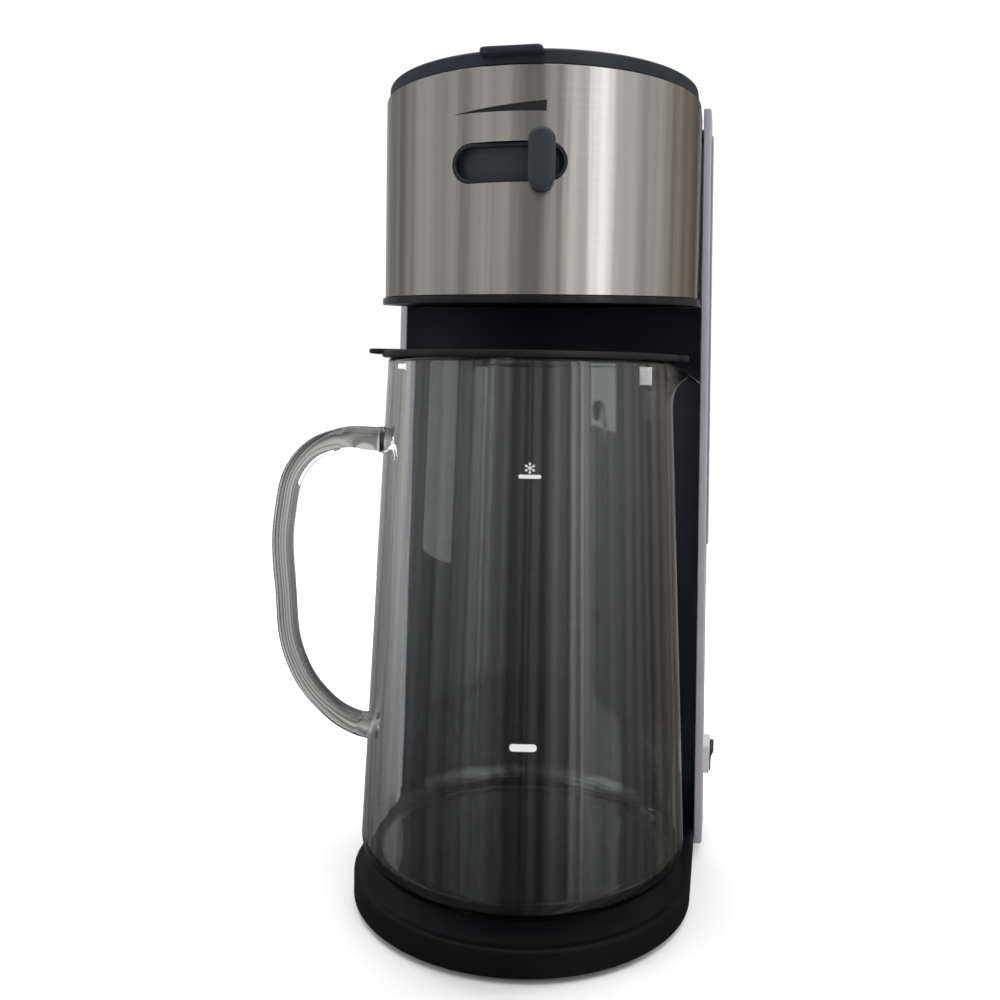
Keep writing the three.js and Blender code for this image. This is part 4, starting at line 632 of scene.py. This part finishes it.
def wedge_strip(radius, steps=24):
    """Lower and upper points of the wedge, from left to right, at a radius."""
    rows = []
    for i in range(steps + 1):
        share = i / steps
        x, low, high = (a + (b - a) * share for a, b in zip(wedge_left, wedge_right))
        y = -math.sqrt(radius**2 - x**2)
        rows.append([(x * mm, y * mm, low * mm), (x * mm, y * mm, high * mm)])
    return rows


outer, inner = wedge_strip(head_radius + 0.04), wedge_strip(head_radius - 0.1)
wedge_rings = [[o[0], o[1], i[1], i[0]] for o, i in zip(outer, inner)]
piece("wedge_print", [bridged(wedge_rings, caps=True)], ink, "machine")

# Selector bezel: a dark lining pushed into the slot from inside, curved with the band, with a thin lip. The slate
# mouldings of the selector, the filter and the lid's inside start here too.
slate = moulded("slate_moulding", (0.026, 0.032, 0.039), 0.42, grain=0.06, shine=0.4)
slate_dark = moulded("slate_dark_moulding", (0.016, 0.02, 0.026), 0.5, grain=0.06, shine=0.3)


def on_cylinder(x, z, radius):
    """A point in front of the head's axis."""
    return (x * mm, -math.sqrt(radius**2 - x**2) * mm, z * mm)


bezel_steps = [(seat, 76.3), (seat, 79.6), (0.5, 79.9), (1.4, 79.9), (1.8, 79.5), (1.8, 76.3)]
bezel_rings = [[on_cylinder(x, z, radius) for x, z in slot_outline(inset)] for inset, radius in bezel_steps]
piece("slot_bezel", [bridged(bezel_rings, loop=True)], slate_dark, "machine", ["selector_bezel"])

# Strength selector: a tall rounded knob on a stem that runs through the slot to a curved carriage plate behind
# it. The plate closes the slot at every setting, and its neck carries the bypass shutter.
knob_turn = Matrix.Rotation(math.radians(10.1), 3, "Z")


def rotated(shape, rotation):
    """A shape turned about the upright axis of its frame."""
    vertices, faces = shape
    return [tuple(rotation @ Vector(v)) for v in vertices], faces


def arc_block(inner_radius, outer_radius, start, end, low, high, steps=32):
    """An upright plate bent about the head's or the pitcher's axis, between two angles in degrees."""
    angles = [math.radians(start + (end - start) * i / steps) for i in range(steps + 1)]
    points = [(outer_radius * math.cos(a), outer_radius * math.sin(a)) for a in angles]
    points += [(inner_radius * math.cos(a), inner_radius * math.sin(a)) for a in reversed(angles)]
    return stacked([(points, low), (points, high)])


carriage = arc_block(73.2, 75.2, -125, -55, slot_z - 12, slot_z + 12)
carriage_neck = arc_block(68.6, 71, -95, -85, slot_z - 5.5, 381.6)
carriage_tab = arc_block(68.8, 74.2, -94.8, -85.2, slot_z - 5.3, slot_z + 5.5)
# The carriage plate takes the knob's lighter slate rather than a darker tone so that it shows lighter in the knob's
# shadow behind the slot: painted light against that shade.
piece(
    "slider_plate",
    [rotated(shape, knob_turn) for shape in (carriage, carriage_neck, carriage_tab)],
    slate,
    "selector",
    ["selector_carriage"],
)
knob_back, knob_front, knob_round = -80.4, -88.4, 2.2
corner_angles = (0.3, 0.6, 0.9, 1.2, math.pi / 2)
knob_steps = [(1.6, knob_back), (0.6, knob_back - 0.25), (0.15, knob_back - 0.8), (0, knob_back - 1.5)]
knob_steps.append((0, knob_front + knob_round))
knob_steps += [
    (knob_round - knob_round * math.cos(a), knob_front + knob_round - knob_round * math.sin(a)) for a in corner_angles
]
knob_shape = stacked([(track(0, slot_z, 6 - d, 13.4 - d, 5.99 - d, 12), y) for d, y in knob_steps], axis=1)
stem_outline = [(x, slot_z + z) for x, z in ((-4, -5.5), (4, -5.5), (4, 5.5), (-4, 5.5))]
stem_shape = stacked([(stem_outline, y) for y in (-81, -75.3)], axis=1)
piece(
    "selector_knob",
    [rotated(shape, knob_turn) for shape in (knob_shape, stem_shape)],
    slate,
    "selector",
    ["strength_knob"],
)

# Brew basket, filter and shower: moulded parts in the head. The filter is a slate frame with a fine steel mesh.
# All of them keep their CAD shapes.
mesh_steel, weave_shader = new_finish("filter_mesh_steel")
weave_shader.inputs["Metallic"].default_value = 1
weave_shader.inputs["Roughness"].default_value = 0.35
weave = mesh_steel.node_tree
weave_place = add_node(weave, "ShaderNodeTexCoord").outputs["Object"]
weave_wires = add_node(weave, "ShaderNodeTexWave", {"Scale": 700}, {"Vector": weave_place}, bands_direction="Z")
tint(weave_shader, weave_wires.outputs["Fac"], (0.12, 0.12, 0.12), (0.62, 0.61, 0.6))
dress(matt_black, "brew_basket")
dress(slate, "filter_frame", "shower_plate", "lid_liner")
dress(mesh_steel, "filter_mesh")

# Top lid: a slate-grey cover with softly rounded edges and a thumb tab at its front. It turns about a steel pin
# at the rear deck, a fixed cap that closes the casing behind it.
lid_half, lid_bottom, lid_top, lid_depth, lid_round = 78.0, 395.5, 402.45, 89.7, 1.6
hinge_y, hinge_z, hinge_half, lid_rear = 122.0, 399.0, 25.5, 118.0


def lid_ring(inset, z, steps=64, side_steps=24):
    """Round front, and an oval back that ends at a straight rear edge, drawn in by inset."""
    half, depth, rear = lid_half - inset, lid_depth - inset, lid_rear - inset
    end_angle = math.asin((rear - side_end) / depth)
    points = [(half * math.cos(a), half * math.sin(a)) for a in (math.pi * (1 + i / steps) for i in range(steps + 1))]
    back = [end_angle * i / side_steps for i in range(side_steps + 1)]
    points += [(half * math.cos(a), side_end + depth * math.sin(a)) for a in back]
    points += [(-half * math.cos(a), side_end + depth * math.sin(a)) for a in reversed(back)]
    return [(x * mm, y * mm, z * mm) for x, y in points]


lid_slate = moulded("lid_slate_moulding", (0.014, 0.019, 0.026), 0.42, grain=0.06, shine=0.35)
lid_profile = [(2.4, 400.1), (2.4, lid_bottom), (0.3, lid_bottom), (0, lid_bottom + 0.3), (0, lid_top - lid_round)]
lid_profile += [
    (lid_round - lid_round * math.cos(a), lid_top - lid_round + lid_round * math.sin(a)) for a in corner_angles
]
tab_profile = [(1.2, 399.1), (0.3, 399.4), (0, 400.0), (0, 401.4), (0.35, 402.1), (1.3, 402.5)]
barrel = circle(hinge_y, hinge_z, 3.5)
hinge_block = [(-hinge_half, 115.8), (hinge_half, 115.8), (hinge_half, hinge_y), (-hinge_half, hinge_y)]
piece(
    "lid_cover",
    [
        bridged([lid_ring(d, z) for d, z in lid_profile], caps=True),
        stacked([(track(0, -74.5, 14 - d, 8.5 - d, 2.2 - d * 0.5), z) for d, z in tab_profile]),
        stacked([(barrel, -hinge_half), (barrel, hinge_half)], axis=0),
        stacked([(hinge_block, z) for z in (395.6, 402.4)]),
    ],
    lid_slate,
    "lid",
    ["top_lid"],
)
dress(lid_slate, "rear_deck")

# Power switch: a light grey frame clipped into the shell, with a rocker in its pocket. The rocker's face is dished,
# and it leans by half of its travel at rest.
frame_back = (shell_half - shell_wall) * flare(switch_z) - 3.0
frame_front = shell_half * flare(switch_z) + 3.4
frame_steps = [(0, frame_back), (0, frame_front - 0.6), (0.18, frame_front - 0.18), (0.6, frame_front)]
frame_steps += [(1.5, frame_front), (1.6, frame_front - 0.2), (1.6, frame_front - 7.2)]
frame_half_y, frame_half_z = switch_half_y - seat, switch_half_z - seat
frame_layers = []
for inset, x in frame_steps:
    tall = inset if inset < 1 else inset / 2
    frame_layers.append((track(switch_y, switch_z, frame_half_y - inset, frame_half_z - tall, 1.5 - tall * 0.9), x))
light_grey = moulded("light_grey_moulding", (0.56, 0.54, 0.56), 0.4, mottle=0.04)
piece("switch_bezel", [stacked(frame_layers, axis=0)], light_grey, "machine", ["switch_frame"])
pivot_x, lean, rocker_half, rocker_half_y = frame_front - 3.2, math.radians(8), 6.1, 8.1
rocker_top = [(4.05, rocker_half * 0.4), (4.75, rocker_half - 0.9), (4.6, rocker_half - 0.35), (3.9, rocker_half)]
rocker_top.append((-3.4, rocker_half * 0.6))
rocker_profile = [(x, -z) for x, z in reversed(rocker_top)] + [(3.9, 0)] + rocker_top
rocker_outline = [
    (pivot_x + x * math.cos(lean) + z * math.sin(lean), switch_z + z * math.cos(lean) - x * math.sin(lean))
    for x, z in rocker_profile
]
rocker_shape = stacked([(rocker_outline, y) for y in (switch_y - rocker_half_y, switch_y + rocker_half_y)], axis=1)
piece("rocker_key", [rocker_shape], slate, "rocker", ["power_rocker"])

# Pitcher: clear glass blown to a tapering wall with a heavy floor, a pulled spout, and a solid glass rod fused
# on as its handle. Body and handle are one piece of glass.
pitcher_foot, pitcher_height = 21.3, 246.0
rim_outer, belly_outer, glass_wall, lip_round, heel, floor_thick = 69.8, 81.2, 2.8, 1.4, 11.5, 4.5
spout_reach, spout_droop, spout_height, spout_half_angle = 15.2, 10.3, 26.0, 24.0
pitcher_angle = 11.4
pitcher_turn = Matrix.Rotation(math.radians(pitcher_angle), 3, "Z")
pitcher_place = Vector((head_x, head_y + base_front_y, pitcher_foot * mm))


def wall_radius(z):
    """Outer radius of the glass at a height over its foot."""
    return belly_outer + (rim_outer - belly_outer) * z / pitcher_height


def heel_curve(radius, lift, steps=12):
    """A quarter circle round the heel's centre, from the floor up to the wall."""
    centre = wall_radius(heel) - heel
    angles = [-math.pi / 2 * (1 - i / steps) for i in range(steps + 1)]
    return [(centre + radius * math.cos(a), heel + radius * math.sin(a) + lift) for a in angles]


climb = [pitcher_height - lip_round - (spout_height - lip_round) * (1 - i / 16) for i in range(17)]
outside = [(r, 0) for r in (0, 20, 40, 60)] + heel_curve(heel, 0)
outside += [(wall_radius(z), z) for z in (60, 110, 160, *climb)]
lip = [
    (rim_outer - lip_round + lip_round * math.cos(a), pitcher_height - lip_round + lip_round * math.sin(a))
    for a in (math.pi * i / 8 for i in range(1, 8))
]
inside = [(wall_radius(z) - glass_wall, z) for z in (*reversed(climb), 160, 110, 60)]
inside += list(reversed(heel_curve(heel - glass_wall, floor_thick - glass_wall)))
inside += [(r, floor_thick) for r in (60, 40, 20, 0)]
glass_profile = outside + lip + inside


def pull_spout(x, y, z):
    """Draws the rim out towards +X and lets the tip droop. Millimetres."""
    angle = math.degrees(math.atan2(y, x))
    nearness = max(0.0, 1 - (angle / spout_half_angle) ** 2) ** 2
    rise = max(0.0, (z - pitcher_height + spout_height) / spout_height)
    pull = nearness * rise**3
    radius = math.hypot(x, y) or 1
    grown = (radius + spout_reach * pull) / radius
    return x * grown, y * grown, z - spout_droop * pull * rise**2


def in_pitcher(x, y, z):
    """A point of the pitcher in metres, turned as the pitcher stands."""
    return tuple(pitcher_turn @ Vector((x * mm, y * mm, z * mm)))


glass_rings, glass_steps = [], 216
for i in range(glass_steps):
    angle = 2 * math.pi * i / glass_steps
    turned_profile = [(r * math.cos(angle), r * math.sin(angle), z) for r, z in glass_profile]
    glass_rings.append([in_pitcher(*pull_spout(*point)) for point in turned_profile])
clear_glass, glass_shader = new_finish("clear_glass")
glass_shader.inputs["Base Color"].default_value = (0.93, 0.955, 0.95, 1)
glass_shader.inputs["Transmission Weight"].default_value = 1
glass_shader.inputs["IOR"].default_value = 1.47
glass_wave = noise(glass_shader, 60, stretch=(1, 1, 0.07))
bump(glass_shader, glass_wave, 0.1, 0.0008)
rub(glass_shader, glass_wave, 0.0, 0.02)
pitcher = piece(
    "glass_pitcher",
    [bridged(glass_rings, ring_closed=False, loop=True)],
    clear_glass,
    "pitcher",
    smooth_angle=50,
    shift=pitcher_place,
)

handle_points = [(70.0, 205.5), (74, 205.5), (95, 205.3), (113.3, 194.2), (121.5, 168), (121.0, 130), (115.4, 94)]
handle_points += [(99, 70.8), (84, 61.8), (76.6, 60.6)]
handle_widths = [1.4, 1.2, 1, 1, 1, 1, 1, 1, 1.15, 1.3]
handle_radius, weld_sharp_angle = 5.3, 55
handle_curve = bpy.data.curves.new("handle_line", "CURVE")
handle_curve.dimensions = "3D"
handle_curve.bevel_depth = handle_radius * mm
handle_curve.bevel_resolution = 8
handle_curve.use_fill_caps = True
handle_curve.resolution_u = 16
handle_line = handle_curve.splines.new("BEZIER")
handle_line.bezier_points.add(len(handle_points) - 1)
for point, (reach, z), width in zip(handle_line.bezier_points, handle_points, handle_widths):
    point.co = Vector(in_pitcher(-reach, 0, z)) + pitcher_place
    point.handle_left_type = point.handle_right_type = "AUTO"
    point.radius = width
handle_object = placed("handle_line", handle_curve)
handle_mesh = evaluated_mesh(handle_object)
tidied(handle_mesh)
bpy.data.objects.remove(handle_object)
combine(pitcher, placed("handle_rod", handle_mesh), "UNION", "MANIFOLD")
fused = pitcher.data
fused.materials.clear()
fused.materials.append(clear_glass)
tidied(fused)
fused.shade_smooth()
fused.set_sharp_from_angle(angle=math.radians(weld_sharp_angle))
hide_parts("pitcher_body", "pitcher_handle")

# Pitcher prints: white ceramic ink fired on the glass. There are two fill lines, and a plain snowflake sign
# over the upper one.
white_ink = moulded("white_ceramic_ink", (0.8, 0.8, 0.8), 0.45, mottle=0.06)
print_lifts = (-0.1, 0.06)


def on_glass(u, z, lift, middle, radius):
    """A point u millimetres round the glass from an angle in degrees, which is counted from the head's front."""
    angle = math.radians(middle - 90 - pitcher_angle) + u / radius
    reach = wall_radius(z) + lift
    return in_pitcher(reach * math.cos(angle), reach * math.sin(angle), z)


def bar_print(half_angle, middle, low, high, steps=16, end_steps=5):
    """A bar with round ends on the glass, laid in narrow columns."""
    centre = (low + high) / 2
    radius = wall_radius(centre)
    half_height = (high - low) / 2
    straight = radius * math.radians(half_angle) - half_height
    ends = [half_height * math.sin(math.pi / 2 * i / end_steps) for i in range(1, end_steps)]
    columns = [-straight - e for e in reversed(ends)] + [straight * (2 * i / steps - 1) for i in range(steps + 1)]
    under, over = print_lifts
    rings = []
    for u in columns + [straight + e for e in ends]:
        tall = math.sqrt(half_height**2 - max(0, abs(u) - straight) ** 2)
        corners = ((under, -tall), (under, tall), (over, tall), (over, -tall))
        rings.append([on_glass(u, centre + rise, lift, middle, radius) for lift, rise in corners])
    return bridged(rings, caps=True)


def stroke(u0, v0, u1, v1, width, middle, centre):
    """One stroke of the sign, flat on the glass, as a thin closed strip."""
    length = math.hypot(u1 - u0, v1 - v0)
    nu, nv = -(v1 - v0) / length * width / 2, (u1 - u0) / length * width / 2
    corners = ((u0 + nu, v0 + nv), (u1 + nu, v1 + nv), (u1 - nu, v1 - nv), (u0 - nu, v0 - nv))
    radius = wall_radius(centre)
    rings = [[on_glass(u, centre + v, lift, middle, radius) for u, v in corners] for lift in print_lifts]
    return bridged(rings, caps=True)


prints = [bar_print(3.9, pitcher_angle, 194.5, 196.2), bar_print(4.4, 10.7, 77.7, 80.9)]
sign_z, arm, fork, twig, twig_lean = 199.0, 2.5, 1.45, 0.8, 50
arm_width, twig_width = 0.4, 0.3
for k in range(6):
    angle = math.radians(90 + 60 * k)
    cu, cv = math.cos(angle), math.sin(angle)
    if k < 3:
        prints.append(stroke(-arm * cu, -arm * cv, arm * cu, arm * cv, arm_width, pitcher_angle, sign_z))
    for side_lean in (-twig_lean, twig_lean):
        side_angle = angle + math.radians(side_lean)
        end_u, end_v = fork * cu + twig * math.cos(side_angle), fork * cv + twig * math.sin(side_angle)
        prints.append(stroke(fork * cu, fork * cv, end_u, end_v, twig_width, pitcher_angle, sign_z))
piece("pitcher_prints", prints, white_ink, "pitcher", shift=pitcher_place)

# Pitcher lid: a loose black disc, dished to an opening under the head's outlet, with a thumb tab over the
# handle, a flat flap over the spout, and a split skirt with two clips that hold it in the rim.
lid_low, lid_high = pitcher_height + 0.3, pitcher_height + 3.5
disc_profile = [(11, lid_high - 7), (13, lid_high - 7), (38, lid_low), (72, lid_low), (72.7, lid_low + 0.25)]
disc_profile += [(73, lid_low + 0.9), (73, lid_high - 0.9), (72.7, lid_high - 0.3), (72.0, lid_high)]
disc_profile += [(37, lid_high), (36, lid_high - 0.15), (13, lid_high - 4.7), (11.4, lid_high - 5.1)]
disc_profile.append((11, lid_high - 5.6))
skirt_outer = rim_outer - glass_wall - 0.7
window_middle, window_half = -90 + 17.7, 33.9
window_start, window_end = window_middle - window_half, window_middle + window_half
clip_radii, clip_heights, clip_angle = (skirt_outer - 1.9, skirt_outer + 0.05), (lid_low - 4.4, lid_low + 0.9), 6.4
tab_levels = [(0.6, lid_high - 1.4), (0.15, lid_high - 1.2), (0, lid_high - 0.8), (0, lid_high + 0.3)]
tab_levels += [(0.25, lid_high + 0.7), (0.8, lid_high + 0.9)]
flap_levels = [(0.8, lid_low), (0.2, lid_low + 0.25), (0, lid_low + 0.8)]
flap_levels += [(0, lid_high - 0.8), (0.25, lid_high - 0.25), (0.9, lid_high)]
cover_shapes = [
    turned(disc_profile, 192),
    stacked([(track(-70.25, 0, 8.25 - d, 14 - d, 4 - d), z) for d, z in tab_levels]),
    stacked([(track(69, 0, 7 - d, 17 - d, 2 - d), z) for d, z in flap_levels]),
    arc_block(skirt_outer - 1.8, skirt_outer, window_end, window_start + 360, lid_low - 2.4, lid_low + 1, 48),
    arc_block(*clip_radii, window_start - clip_angle, window_start, *clip_heights, 8),
    arc_block(*clip_radii, window_end, window_end + clip_angle, *clip_heights, 8),
]
lid_black = moulded("pitcher_lid_black", (0.007, 0.0075, 0.009), 0.38, grain=0.05, shine=0.35)
piece(
    "pitcher_cover",
    [rotated(shape, pitcher_turn) for shape in cover_shapes],
    lid_black,
    "pitcher_cover",
    ["pitcher_lid"],
    shift=pitcher_place,
)
